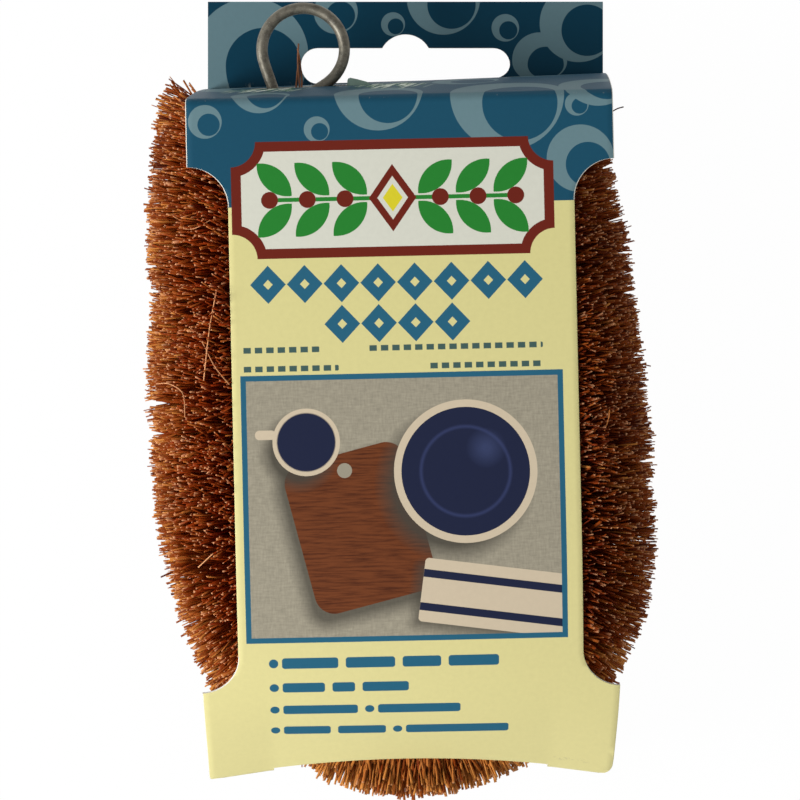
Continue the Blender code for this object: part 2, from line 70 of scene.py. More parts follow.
LOWER_CURVE_RADIUS, LOWER_CURVE_BEND = 0.040, math.radians(26)
FRONT_SLOPE_LENGTH = 0.0136
BOTTOM_PANEL_RISE = 0.0012
WAIST_WIDTH = 0.0698
WAIST_TOP_DROP = 0.0137
FLARE_HEIGHT = 0.0197
FLARE_WIDTH = 0.0849
FLARE_BOTTOM_WIDTH = 0.0837
FLARE_CORNER_RADIUS = 0.0025
LEFT_CORNER_RADIUS = 0.0008
EURO_SLOT_LENGTH = 0.0456
EURO_SLOT_HEIGHT = 0.0072
EURO_SLOT_DROP = 0.0101
EURO_BUMP_RADIUS = 0.0058
EURO_BUMP_HEIGHT = 0.0030
WAIST_TOP_Y = TOP_FOLD_Y - WAIST_TOP_DROP - (SLEEVE_WIDTH - WAIST_WIDTH) / 2
WAIST_FOOT_Y = BOTTOM_FOLD_Y + FLARE_HEIGHT + (FLARE_WIDTH - WAIST_WIDTH) / 2
WINDOW_WIDTH = 0.0568
WINDOW_ABOVE_FOLD = 0.0007
WINDOW_ARCH = 0.0020

# Wire
WIRE_DIAMETER = 0.0024
STRAND_GAP = 0.0006
TWIST_PITCH = 0.0180
TWIST_EASE = 0.0100
RING_OUTER_DIAMETER = 0.0197
RING_ASIDE = 0.0038
RING_ABOVE_NECK = 0.0140
RING_SLOT_SPARE = 0.0012
WIRE_END_LENGTH = 0.0020
WIRE_STEP = 0.0006
WIRE_SHARP_ANGLE = math.radians(50)
RING_POINTS, RING_LEG_POINTS = 72, 16

# How much longer the fibres are at shares of the stem's length, as shares of their reach
TRIM = (
    (0.0, -0.07), (0.045, 0.0), (0.215, 0.0), (0.238, -0.035), (0.258, 0.003), (0.305, -0.038),
    (0.338, -0.098), (0.362, -0.138), (0.380, -0.150), (0.397, -0.120), (0.440, -0.100), (0.452, -0.135),
    (0.460, -0.135), (0.465, -0.074), (0.474, -0.060), (0.484, -0.038), (0.500, 0.0), (0.512, 0.0),
    (0.530, -0.045), (0.556, -0.010), (0.575, 0.0), (0.692, 0.0), (0.715, 0.03), (0.730, 0.072),
    (0.748, 0.04), (0.870, 0.04), (0.895, 0.018), (0.926, -0.012), (0.961, -0.045),
)

# Stem
NECK_DROP = 0.0019
BEND_RADIUS = 0.0265
LEG_LENGTH = 0.0876
NECK_LENGTH = 0.0020
LEG_LEAN = math.radians(4.4)
BRUSH_TURN = math.radians(3.2)
FIBRE_REACH = 0.0265
LOBE_FLARE = math.radians(1.2)
TOP_FAN = math.radians(11)
TOP_FAN_LENGTH = 0.0180
BUNDLES_PER_LEG = 6
BUNDLES_IN_BEND = 6

# What follows from the sizes above
TWIST_RADIUS = (WIRE_DIAMETER + STRAND_GAP) / 2
RING_RADIUS = (RING_OUTER_DIAMETER - WIRE_DIAMETER) / 2
BEND_LENGTH = BEND_RADIUS * (math.pi + 2 * LEG_LEAN)
LEG_AND_NECK = LEG_LENGTH + NECK_LENGTH
STEM_LENGTH = LEG_AND_NECK + BEND_LENGTH + LEG_LENGTH
NECK_AHEAD = LEG_AND_NECK * math.cos(LEG_LEAN) + BEND_RADIUS * math.sin(LEG_LEAN)
NECK_ACROSS = LEG_AND_NECK * math.sin(LEG_LEAN) - BEND_RADIUS * math.cos(LEG_LEAN)
NECK_RISE = NECK_AHEAD * math.cos(BRUSH_TURN) + NECK_ACROSS * math.sin(BRUSH_TURN)
BEND_CENTRE = np.array((0, TOP_FOLD_Y - NECK_DROP - NECK_RISE, SLEEVE_DEPTH / 2))

MM = 1000
FIBRE_SEED, CLUMP_SEED, STRAY_SEED = 11, 16, 20


def srgb(red, green, blue):
    """A colour as it shows on a screen, from 0 to 255, as the linear colour that a shader takes."""
    shares = [value / 255 for value in (red, green, blue)]
    return tuple(s / 12.92 if s <= 0.04045 else ((s + 0.055) / 1.055) ** 2.4 for s in shares)


# Colours, as they show in soft light
PRINT_BLUE = srgb(25, 76, 99)
HEADER_BLUE = srgb(4, 54, 74)
PALE_TEAL = srgb(106, 134, 140)
# The cream at the top is a little darker: painted shade
CREAM_TOP_PAINTED_SHADE = srgb(214, 206, 142)
CREAM_BOTTOM = srgb(219, 210, 148)
PLAQUE_WHITE = srgb(211, 211, 197)
BRICK_RED = srgb(106, 34, 22)
LEAF_GREEN = srgb(38, 126, 46)
SUN_YELLOW = srgb(214, 202, 44)
WORN_GREEN = srgb(236, 242, 228)
TORN_GREEN = srgb(28, 104, 40)
SCUFF_GREY = srgb(160, 152, 122)
INK_TEAL = srgb(38, 96, 122)
RULE_GREY = srgb(66, 92, 88)
LINEN = srgb(153, 146, 128)
LINEN_SHADE = srgb(70, 66, 58)
NAVY = srgb(30, 36, 62)
WELL_BLUE = srgb(48, 56, 92)
GLINT_BLUE = srgb(60, 70, 108)
RIM_CREAM = srgb(204, 188, 162)
BOARD_BROWN = srgb(112, 60, 32)
GRAIN_BROWN = srgb(72, 34, 18)
BOARD_WHITE = srgb(222, 220, 208)
BOARD_GREY = srgb(186, 178, 160)
LIP_GREEN = srgb(130, 154, 142)
WIRE_GREY = srgb(126, 121, 108)
WIRE_DARK = srgb(78, 74, 66)
WIRE_BRIGHT = srgb(196, 198, 192)
FIBRE_DARK = srgb(76, 24, 2)
# Painted red bounce light, deep among the fibres towards the stem
FIBRE_ROOT = srgb(140, 42, 5)
# Painted red glow, standing in for light passed through the fibre mass
PAINTED_GLOW_RED = srgb(152, 49, 8)
FIBRE_MID = srgb(135, 61, 12)
FIBRE_PALE = srgb(200, 130, 60)
FIBRE_CUT = srgb(226, 166, 120)


def linked(name, data):
    """A new object in the scene."""
    obj = bpy.data.objects.new(name, data)
    bpy.context.scene.collection.objects.link(obj)
    return obj


def add_object(name, mesh, materials=(), replaced=(), smooth=True):
    """A piece of the brush that rides on the frame's only body."""
    obj = linked(name, mesh)
    for material in materials:
        mesh.materials.append(material)
    if smooth:
        mesh.shade_smooth()
    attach(obj, "root")
    if replaced:
        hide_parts(*replaced)
    return obj


# Arithmetic with shader nodes


class Ink:
    """A number made by the nodes of a material, which takes ordinary arithmetic."""

    def __init__(self, tree, socket):
        self.tree, self.socket = tree, socket

    def math(self, operation, *others, clamp=False):
        node = self.tree.nodes.new("ShaderNodeMath")
        node.operation, node.use_clamp = operation, clamp
        for place, value in zip(node.inputs, (self, *others)):
            if isinstance(value, Ink):
                self.tree.links.new(value.socket, place)
            else:
                place.default_value = value
        return Ink(self.tree, node.outputs[0])

    def __add__(self, other):
        return self.math("ADD", other)

    __radd__ = __add__

    def __sub__(self, other):
        return self.math("SUBTRACT", other)

    def __rsub__(self, other):
        return self.math("MULTIPLY_ADD", -1, other)

    def __mul__(self, other):
        return self.math("MULTIPLY", other)

    __rmul__ = __mul__

    def __neg__(self):
        return self.math("MULTIPLY", -1)

    def __abs__(self):
        return self.math("ABSOLUTE")

    def least(self, other):
        return self.math("MINIMUM", other)

    def most(self, other):
        return self.math("MAXIMUM", other)

    def ramp(self, slope):
        """The number times a slope, kept between 0 and 1."""
        return self.math("MULTIPLY", slope, clamp=True)


def length(across, up):
    """How long the step is that goes so far across and so far up."""
    return (across * across).math("ADD", up * up).math("SQRT")


def disc(u, v, centre, radius):
    """Distance outside a disc. Every shape here is one: below zero is inside."""
    return length(u - centre[0], v - centre[1]) - radius


def box(u, v, centre, size, corner=0.0):
    """Distance outside an upright box with round corners."""
    across = abs(u - centre[0]) - (size[0] / 2 - corner)
    up = abs(v - centre[1]) - (size[1] / 2 - corner)
    return length(across.most(0), up.most(0)) + across.most(up).least(0) - corner


def lozenge(u, v, centre, size):
    """Distance outside a lozenge that stands on its corner."""
    share = size[0] / size[1]
    return (abs(u - centre[0]) + abs(v - centre[1]) * share - size[0] / 2) * (1 / math.hypot(1, share))


def leaf(u, v, centre, size, lean):
    """A pointed leaf, as what two discs share."""
    half, belly = size[0] / 2, size[1] / 2
    radius = (half**2 + belly**2) / (2 * belly)
    aside = radius - belly
    right, up = math.cos(lean), math.sin(lean)
    one = disc(u, v, (centre[0] - up * aside, centre[1] + right * aside), radius)
    return one.most(disc(u, v, (centre[0] + up * aside, centre[1] - right * aside), radius))


def turned(u, v, centre, angle):
    """The two coordinates turned about a point, which then is zero."""
    across, up = u - centre[0], v - centre[1]
    return across * math.cos(angle) + up * math.sin(angle), up * math.cos(angle) - across * math.sin(angle)


def inside(distance, softness=0.08):
    """One inside a shape and zero outside it, with a soft edge."""
    return distance.math("MULTIPLY_ADD", -1 / softness, 0.5, clamp=True)


class Picture:
    """Layers of colour, each laid over what is there."""

    def __init__(self, tree, colour):
        self.tree = tree
        node = tree.nodes.new("ShaderNodeRGB")
        node.outputs[0].default_value = (*colour, 1)
        self.socket = node.outputs[0]

    def lay(self, colour, mask):
        node = self.tree.nodes.new("ShaderNodeMix")
        node.data_type = "RGBA"
        self.tree.links.new(mask.socket, node.inputs["Factor"])
        self.tree.links.new(self.socket, node.inputs["A"])
        if isinstance(colour, Picture):
            self.tree.links.new(colour.socket, node.inputs["B"])
        else:
            node.inputs["B"].default_value = (*colour, 1)
        self.socket = node.outputs["Result"]

    def scale(self, shade):
        """Multiplies the colour by a number."""
        node = self.tree.nodes.new("ShaderNodeVectorMath")
        node.operation = "SCALE"
        self.tree.links.new(self.socket, node.inputs[0])
        self.tree.links.new(shade.socket, node.inputs["Scale"])
        self.socket = node.outputs[0]


def noise(tree, vector, scale, detail=2.0, roughness=0.5, stretch=None):
    """Smooth noise about a half, stretched along the axes if so asked."""
    if stretch is not None:
        mapping = tree.nodes.new("ShaderNodeMapping")
        mapping.inputs["Scale"].default_value = stretch
        tree.links.new(vector, mapping.inputs["Vector"])
        vector = mapping.outputs[0]
    node = tree.nodes.new("ShaderNodeTexNoise")
    node.inputs["Scale"].default_value = scale
    node.inputs["Detail"].default_value = detail
    node.inputs["Roughness"].default_value = roughness
    tree.links.new(vector, node.inputs["Vector"])
    return Ink(tree, node.outputs[0])


def joined(tree, x, y):
    """Two numbers as a vector."""
    node = tree.nodes.new("ShaderNodeCombineXYZ")
    tree.links.new(x.socket, node.inputs[0])
    tree.links.new(y.socket, node.inputs[1])
    return node.outputs[0]


def new_material(name, roughness, metallic=0.0):
    """A material with its node tree and its shader."""
    material = bpy.data.materials.new(name)
    material.use_nodes = True
    tree = material.node_tree
    shader = tree.nodes["Principled BSDF"]
    shader.inputs["Roughness"].default_value = roughness
    shader.inputs["Metallic"].default_value = metallic
    return material, tree, shader


def add_bump(tree, shader, height, strength, distance):
    """Relief of the surface from a number."""
    bump = tree.nodes.new("ShaderNodeBump")
    bump.inputs["Strength"].default_value = strength
    bump.inputs["Distance"].default_value = distance
    tree.links.new(height.socket, bump.inputs["Height"])
    tree.links.new(bump.outputs[0], shader.inputs["Normal"])


# Print on the card, in millimetres: u across from the object's middle, v up the unfolded card, with the
# front panel's own Y at its flat part

BOUNDARY_V = 38.1
TOP_FOLD_V = TOP_FOLD_Y * MM
HEADER_V = TOP_FOLD_V + math.hypot(TOP_FOLD_Y - REAR_FOLD_Y, SLEEVE_DEPTH) * MM
PLAQUE_CENTRE, PLAQUE_SIZE, PLAQUE_BORDER, PLAQUE_CORNER = (-1.0, 39.4), (65.0, 23.6), 2.0, 5.0
PLAQUE_LOZENGES = ((BRICK_RED, (9.6, 13.6)), (PLAQUE_WHITE, (6.2, 8.8)), (SUN_YELLOW, (4.0, 5.6)))
STALK_REACH, STALK_HALF = 26.5, 0.42
LEAF_PLACE, LEAF_SIZE, LEAF_LEAN, LEAF_PAIRS, LEAF_PITCH = (8.6, 4.1), (9.6, 4.5), math.radians(44), 3, 7.6
BERRY_ACROSS, BERRY_RADIUS = 9.6, 1.7
LOZENGE_ROWS, ROWS_MIDDLE, LOZENGE_PITCH = ((22.4, 8), (14.2, 4)), -0.6, 7.4
ROW_LOZENGE, LOZENGE_HOLE = (7.2, 7.7), (1.9, 2.002)
RULES = ((9.2, -32.0, -16.4), (5.4, -32.0, -12.6), (9.2, -6.6, 28.6), (5.4, 5.6, 28.6))
RULE_HEIGHT, RULE_CORNER = 1.15, 0.3
DASH_PITCH, DASH_MIDDLE, DASH_HALF = 2.3, 1.0, 0.75
# Discs of pale print, each across, up and in radius, and the disc left out of each as shares of its radius
BUBBLES = (
    (-38.5, 55.5, 3.4), (-27.5, 63.0, 6.0), (37.0, 46.5, 6.8), (22.5, 60.0, 11.5), (-16.0, 53.5, 2.6),
    (-3.5, 62.0, 9.0), (41.0, 65.0, 8.0), (36.5, 57.5, 2.4),
    (-30.0, 86.0, 12.0), (14.0, 80.0, 7.0), (30.0, 95.0, 9.0), (-6.0, 97.0, 4.0),
)
HEADER_BUBBLES = (
    (-33.0, 6.0, 12.5), (-14.5, 15.5, 4.8), (-2.0, 12.8, 2.6), (9.0, 18.5, 8.0), (30.0, 5.0, 6.0),
    (38.5, 13.0, 8.5), (22.5, 12.0, 3.0),
)
HOLLOW_ASIDE, HOLLOW_BELOW, HOLLOW_RADIUS = 0.22, 0.18, 0.66
FRAME_CENTRE, FRAME_SIZE, FRAME_BORDER = (0.0, -23.0), (65.0, 54.2), 1.1
BOARD_CENTRE, BOARD_SIZE, BOARD_CORNER, BOARD_TURN = (-9.0, -27.0), (25, 31), 4.0, math.radians(14)
BOARD_HOLE, BOARD_HOLE_RADIUS = (0, 12.0), 1.5
PLATE_CENTRE, PLATE_RADIUS, PLATE_RIM, PLATE_WELL = (12.5, -16.0), 14.2, 13.7, 9.0
CUP_CENTRE, CUP_RADIUS, CUP_INSIDE, CUP_HANDLE = (-19.5, -9.5), 6.8, 5.9, (4.2, 1.9)
TOWEL_CENTRE, TOWEL_SIZE, TOWEL_TURN, TOWEL_CORNER = (20.0, -42.0), (34, 13), math.radians(-8), 0.8
STRIPE_ASIDE, STRIPE_HALF = 3.4, 0.8
# The rows of bars: their height and the bars' widths, with a zero where one more dot stands
BAR_ROWS = (
    (-54.4, (11.4, 10.0, 7.8, 10.2)),
    (-60.1, (8.6, 4.6, 9.4)),
    (-65.8, (15.2, 0, 16.8)),
    (-71.7, (9.6, 9.8, 0, 21.0)),
)
BAR_LEFT, DOT_INDENT, DOT_RADIUS, DOT_STEP = -28.0, 0.9, 0.95, 2.6
BAR_HEIGHT, BAR_CORNER, BAR_GAP = 2.3, 0.6, 1.5
BACK_CENTRE_V, BACK_FRAME_HALF, BACK_FRAME_CORNER, BACK_SPARE = -178.0, (27.0, 52.0), 3.0, 8
BACK_LOZENGE, BACK_LEAF = (4.4, 6.0), (7.6, 3.0)
# Where the print is worn: about the top fold, behind the slot of the ring and at the lower right corner
TORN_ABOVE_FOLD, TORN_MIDDLE, TORN_ASIDE = 17, -14.5, 12.5
SCUFF_CENTRE, SCUFF_SIZE = (34.0, -81.2), (7.0, 0.2)


def bubble_shape(u, v, bubbles, up=0.0):
    """Distance outside several discs, each with a smaller disc left out of it."""
    nearest = None
    for across, height, radius in bubbles:
        whole = disc(u, v, (across, height + up), radius)
        middle = (across + HOLLOW_ASIDE * radius, height + up - HOLLOW_BELOW * radius)
        crescent = whole.most(-disc(u, v, middle, HOLLOW_RADIUS * radius))
        nearest = crescent if nearest is None else nearest.least(crescent)
    return nearest


def paint_plaque(picture, u, v):
    """A notched plaque with a lozenge between two sprigs of leaves and berries."""
    across, up = abs(u - PLAQUE_CENTRE[0]), abs(v - PLAQUE_CENTRE[1])
    corner = length(across - PLAQUE_SIZE[0] / 2, up - PLAQUE_SIZE[1] / 2)
    shape = box(u, v, PLAQUE_CENTRE, PLAQUE_SIZE).most(PLAQUE_CORNER - corner)
    picture.lay(BRICK_RED, inside(shape))
    picture.lay(PLAQUE_WHITE, inside(shape + PLAQUE_BORDER))
    picture.lay(LEAF_GREEN, inside((up - STALK_HALF).most(across - STALK_REACH)))
    for pair in range(LEAF_PAIRS):
        middle = (LEAF_PLACE[0] + LEAF_PITCH * pair, LEAF_PLACE[1])
        picture.lay(LEAF_GREEN, inside(leaf(across, up, middle, LEAF_SIZE, LEAF_LEAN)))
    for pair in range(LEAF_PAIRS):
        picture.lay(BRICK_RED, inside(disc(across, up, (BERRY_ACROSS + LEAF_PITCH * pair, 0), BERRY_RADIUS)))
    for colour, size in PLAQUE_LOZENGES:
        picture.lay(colour, inside(lozenge(across, up, (0, 0), size)))


def paint_lozenge_rows(picture, u, v):
    """Two rows of lozenges with a hole in each."""
    for middle, count in LOZENGE_ROWS:
        first = ROWS_MIDDLE - LOZENGE_PITCH * (count - 1) / 2
        near = (u - first).math("DIVIDE", LOZENGE_PITCH).math("ROUND").most(0).least(count - 1)
        local = u - near * LOZENGE_PITCH - first
        hole = lozenge(local, v, (0, middle), LOZENGE_HOLE)
        picture.lay(INK_TEAL, inside(lozenge(local, v, (0, middle), ROW_LOZENGE).most(-hole)))


def paint_rules(picture, u, v):
    """Dashed rules, two in each of two rows."""
    for middle, low, high in RULES:
        dashes = abs((u - low).math("MODULO", DASH_PITCH) - DASH_MIDDLE) - DASH_HALF
        line = box(u, v, ((low + high) / 2, middle), (high - low, RULE_HEIGHT), RULE_CORNER)
        picture.lay(RULE_GREY, inside(line.most(dashes)))


def moved(centre, across, up):
    """A point moved across and up."""
    return centre[0] + across, centre[1] + up


def paint_still_life(picture, tree, vector, u, v):
    """A teal frame round linen, with a folded towel, a wooden board, a plate and a cup seen from above."""
    whole = box(u, v, FRAME_CENTRE, FRAME_SIZE)
    picture.lay(INK_TEAL, inside(whole))
    inner = Picture(tree, LINEN)
    weft, warp = (noise(tree, vector, 1.0, 2, 0.6, stretch) for stretch in ((2.6, 0.5, 1), (0.5, 2.6, 1)))
    inner.scale((weft + warp) * 0.5 + 0.52)

    def shadow(distance, width, depth):
        inner.lay(LINEN_SHADE, distance.math("MULTIPLY_ADD", -1 / width, 0.6, clamp=True) * depth)

    local = turned(u, v, BOARD_CENTRE, BOARD_TURN)
    board = inside(box(*local, (0, 0), BOARD_SIZE, BOARD_CORNER))
    shadow(box(*local, (-1.4, -1.6), moved(BOARD_SIZE, 1, 1), BOARD_CORNER), 3.0, 0.8)
    inner.lay(BOARD_BROWN, board)
    grain = noise(tree, vector, 1.0, 3, 0.6, (0.16, 2.2, 1))
    inner.lay(GRAIN_BROWN, board * (grain - 0.42).ramp(3.4))
    inner.lay(LINEN, inside(disc(*local, BOARD_HOLE, BOARD_HOLE_RADIUS)))

    shadow(disc(u, v, moved(PLATE_CENTRE, -2.2, -2.4), PLATE_RADIUS - 0.2), 4.0, 0.9)
    inner.lay(NAVY, inside(disc(u, v, PLATE_CENTRE, PLATE_RADIUS)))
    inner.lay(RIM_CREAM, inside(abs(disc(u, v, PLATE_CENTRE, PLATE_RIM)) - 0.75))
    inner.lay(WELL_BLUE, inside(abs(disc(u, v, PLATE_CENTRE, PLATE_WELL)) - 0.3, 0.5))
    inner.lay(GLINT_BLUE, inside(disc(u, v, moved(PLATE_CENTRE, 4.2, 4.6), 2.4), 3.5) * 0.7)

    shadow(disc(u, v, moved(CUP_CENTRE, -1.6, -2.0), CUP_RADIUS - 0.2), 3.0, 0.9)
    inner.lay(RIM_CREAM, inside(disc(u, v, CUP_CENTRE, CUP_RADIUS)))
    inner.lay(NAVY, inside(disc(u, v, CUP_CENTRE, CUP_INSIDE), 0.3))
    inner.lay(RIM_CREAM, inside(box(u, v, moved(CUP_CENTRE, -8.2, 1.6), CUP_HANDLE, 0.9)))

    local = turned(u, v, TOWEL_CENTRE, TOWEL_TURN)
    towel = box(*local, (0, 0), TOWEL_SIZE, TOWEL_CORNER)
    shadow(box(*local, (-1.2, -1.2), TOWEL_SIZE, TOWEL_CORNER + 0.2), 2.4, 0.7)
    inner.lay(RIM_CREAM, inside(towel))
    inner.lay(NAVY, inside(towel.most(abs(abs(local[1]) - STRIPE_ASIDE) - STRIPE_HALF)))
    picture.lay(inner, inside(whole + FRAME_BORDER))


def paint_bar_rows(picture, u, v):
    """Rows of unequal bars, each with a dot in front."""
    for middle, widths in BAR_ROWS:
        at = BAR_LEFT
        for width in (0, *widths):
            if width:
                shape = box(u, v, (at + width / 2, middle), (width, BAR_HEIGHT), BAR_CORNER)
                at += width + BAR_GAP
            else:
                shape = disc(u, v, (at + DOT_INDENT, middle), DOT_RADIUS)
                at += DOT_STEP
            picture.lay(INK_TEAL, inside(shape))


def paint_back(picture, u, v):
    """A plain double frame, with a lozenge and two leaves in each corner, on the side the photograph doesn't
    show."""
    across, up = abs(u - SLEEVE_SHIFT * MM), abs(v - BACK_CENTRE_V)
    outline = box(across, up, (0, 0), [2 * half for half in BACK_FRAME_HALF], BACK_FRAME_CORNER)
    on_back = inside(v - BACK_CENTRE_V - BACK_FRAME_HALF[1] - BACK_SPARE)
    corner = moved(BACK_FRAME_HALF, -BACK_SPARE, -BACK_SPARE)
    for colour, shape in (
        (INK_TEAL, abs(outline) - 0.5),
        (INK_TEAL, abs(outline + 2.2) - 0.2),
        (BRICK_RED, lozenge(across, up, corner, BACK_LOZENGE)),
        (LEAF_GREEN, leaf(across, up, moved(corner, -7, 0), BACK_LEAF, 0)),
        (LEAF_GREEN, leaf(across, up, moved(corner, 0, -8), BACK_LEAF, math.pi / 2)),
    ):
        picture.lay(colour, inside(shape) * on_back)


def paint_wear(picture, tree, vector, u, v):
    """Worn flecks about the folds, torn streaks behind the ring's slot, and scuffs at the lower right."""
    flecks = noise(tree, vector, 1.0, 4, 0.7, (0.7, 0.22, 1))
    behind = inside(abs(v - HEADER_V + 4) - 4, 2.0) * (flecks - 0.6).ramp(12)
    at_fold = inside(abs(v - TOP_FOLD_V) - 0.1, 0.5) * (flecks - 0.62).ramp(9) * 0.5
    picture.lay(PLAQUE_WHITE, behind.most(at_fold) * 0.8)
    torn = noise(tree, joined(tree, (u - v * 0.34) * 0.95, v * 0.10), 1.0, 3, 0.6)
    near_slot = inside(abs(v - TOP_FOLD_V - TORN_ABOVE_FOLD) - 6, 8.0)
    near_slot *= inside(abs(abs(u - TORN_MIDDLE) - TORN_ASIDE) - 7, 6.0)
    picture.lay(TORN_GREEN, (torn + near_slot * 0.1 - 0.54).ramp(30) * near_slot)
    picture.lay(WORN_GREEN, (torn + near_slot * 0.1 - 0.60).ramp(26) * near_slot)
    scuffs = noise(tree, vector, 1.0, 3, 0.6, (0.9, 1.6, 1))
    near_corner = inside(box(u, v, SCUFF_CENTRE, SCUFF_SIZE), 1.2)
    picture.lay(SCUFF_GREY, (scuffs - 0.5).ramp(9) * near_corner * 0.7)


def print_material():
    """The printed side of the card."""
    material, tree, shader = new_material("printed_card", 0.45)
    shader.inputs["Specular IOR Level"].default_value = 0.12
    uv = tree.nodes.new("ShaderNodeUVMap")
    uv.uv_map = "print"
    vector = uv.outputs[0]
    parts = tree.nodes.new("ShaderNodeSeparateXYZ")
    tree.links.new(vector, parts.inputs[0])
    u, v = Ink(tree, parts.outputs["X"]), Ink(tree, parts.outputs["Y"])

    picture = Picture(tree, CREAM_BOTTOM)
    # The cream is painted a little darker towards the top: painted shade
    picture.lay(CREAM_TOP_PAINTED_SHADE, (v + 78).ramp(1 / 110))
    picture.lay(PRINT_BLUE, inside(BOUNDARY_V - v))
    picture.lay(PALE_TEAL, inside((BOUNDARY_V - v).most(bubble_shape(u, v, BUBBLES))) * 0.92)
    in_header = inside(HEADER_V - v)
    picture.lay(HEADER_BLUE, in_header)
    picture.lay(PALE_TEAL, in_header * inside(bubble_shape(u, v, HEADER_BUBBLES, HEADER_V)) * 0.8)
    paint_plaque(picture, u, v)
    paint_lozenge_rows(picture, u, v)
    paint_rules(picture, u, v)
    paint_still_life(picture, tree, vector, u, v)
    paint_bar_rows(picture, u, v)
    paint_back(picture, u, v)
    paint_wear(picture, tree, vector, u, v)
    picture.scale(noise(tree, vector, 0.9, 4, 0.6) * 0.10 + 0.95)
    tree.links.new(picture.socket, shader.inputs["Base Color"])
    fine = noise(tree, vector, 6.0, 3, 0.6)
    tree.links.new((fine * 0.16 + 0.4).socket, shader.inputs["Roughness"])
    add_bump(tree, shader, fine, 0.12, 0.0001)
    return material


def object_place(tree):
    """The place on the object that a noise is taken from."""
    return tree.nodes.new("ShaderNodeTexCoord").outputs["Object"]


def board_material(name, colour):
    """Bare board at the card's cut edges and on its inner side."""
    material, tree, shader = new_material(name, 0.85)
    place = object_place(tree)
    picture = Picture(tree, colour)
    picture.scale(noise(tree, place, 900, 4, 0.7) * 0.22 + 0.89)
    tree.links.new(picture.socket, shader.inputs["Base Color"])
    add_bump(tree, shader, noise(tree, place, 2600, 3, 0.6), 0.25, 0.0001)
    return material


def wire_material():
    """Dull zinc with drawing marks and a few darker patches."""
    material, tree, shader = new_material("galvanised_wire", 0.5, 0.7)
    place = object_place(tree)
    patches = noise(tree, place, 420, 4, 0.65)
    grain = noise(tree, place, 3200, 2, 0.5)
    picture = Picture(tree, WIRE_GREY)
    picture.lay(WIRE_DARK, (patches - 0.48).ramp(6) * 0.75)
    picture.lay(WIRE_BRIGHT, (grain - 0.6).ramp(6) * 0.35)
    tree.links.new(picture.socket, shader.inputs["Base Color"])
    tree.links.new((patches * 0.3 + 0.36).socket, shader.inputs["Roughness"])
    add_bump(tree, shader, grain + patches, 0.35, 0.00012)
    return material


# How often the worn fibres come round as the tone rises by one, and a tone that is worn all along
TONE_PICKS = 37
WORN_TONE = (TONE_PICKS - 0.05) / TONE_PICKS
# The tones below which fibre is dark and above which it is pale
DARK_BELOW, PALE_ABOVE = 0.52, 0.76
# The shares along a fibre where a worn tip and a cut end begin, and the picks that have them
TIP_FROM, END_FROM = 0.94, 0.985
WORN_PICKS, CUT_PICKS = 0.84, 0.3


def coir_material():
    """Brown plant fibre, each fibre in its own tone, with pale cut ends. Towards the stem it is painted
    redder, as painted bounce light, and darker, as painted shade. The inner fibres get a painted red glow.
    """
    material, tree, shader = new_material("coir_fibre", 0.55)
    shader.inputs["Specular IOR Level"].default_value = 0.08
    attribute = tree.nodes.new("ShaderNodeAttribute")
    attribute.attribute_name = "fibre"
    parts = tree.nodes.new("ShaderNodeSeparateColor")
    tree.links.new(attribute.outputs["Color"], parts.inputs[0])
    tone, along, inward = (Ink(tree, parts.outputs[index]) for index in range(3))
    picture = Picture(tree, FIBRE_MID)
    picture.lay(FIBRE_DARK, (DARK_BELOW - tone).ramp(2.2))
    picture.lay(FIBRE_PALE, (tone - PALE_ABOVE).ramp(2.6))
    # Painted red glow on the fibres that point to the front and the back, as light passed through the fibres
    picture.lay(PAINTED_GLOW_RED, (inward - 0.1).ramp(1.15))
    pick = (tone * TONE_PICKS).math("FRACT")
    worn_tip = (along - TIP_FROM).ramp(18) * (pick - WORN_PICKS).ramp(12)
    cut_end = (along - END_FROM).ramp(70) * (pick - CUT_PICKS).ramp(2)
    picture.lay(FIBRE_CUT, (worn_tip * 0.6).most(cut_end * 0.7))
    squared = along * along
    # Towards the stem the fibre is painted redder, as painted bounce light, and darker, as painted shade
    picture.lay(FIBRE_ROOT, (1 - squared) * 0.7)
    depth_shade = squared.math("MULTIPLY_ADD", 0.22, 0.78, clamp=True)
    picture.scale(depth_shade * (noise(tree, object_place(tree), 1500, 2) * 0.3 + 0.85))
    tree.links.new(picture.socket, shader.inputs["Base Color"])
    return material


# The folded card

ARC_ROWS, COLUMNS = 14, 64
ROW_STEP, CLOSEST_ROWS = 0.0020, 1e-4
# The pale rim along the card's sides lies a little lower than its face
RIM_WIDTH, RIM_DROP = 0.00016, 0.00010
SHARPEST_FOLD = 0.35
CARD_SHARP_ANGLE = math.radians(35)
PRINTED, EDGE, INNER = range(3)
HALF_EDGE, HALF_WAIST, HALF_FLARE, HALF_BOTTOM = (
    width / 2 for width in (SLEEVE_WIDTH, WAIST_WIDTH, FLARE_WIDTH, FLARE_BOTTOM_WIDTH)
)
UPPER_NOTCH, LOWER_NOTCH = HALF_EDGE - HALF_WAIST, HALF_FLARE - HALF_WAIST
NOTCH_TOP_Y, NOTCH_FOOT_Y = TOP_FOLD_Y - WAIST_TOP_DROP, BOTTOM_FOLD_Y + FLARE_HEIGHT


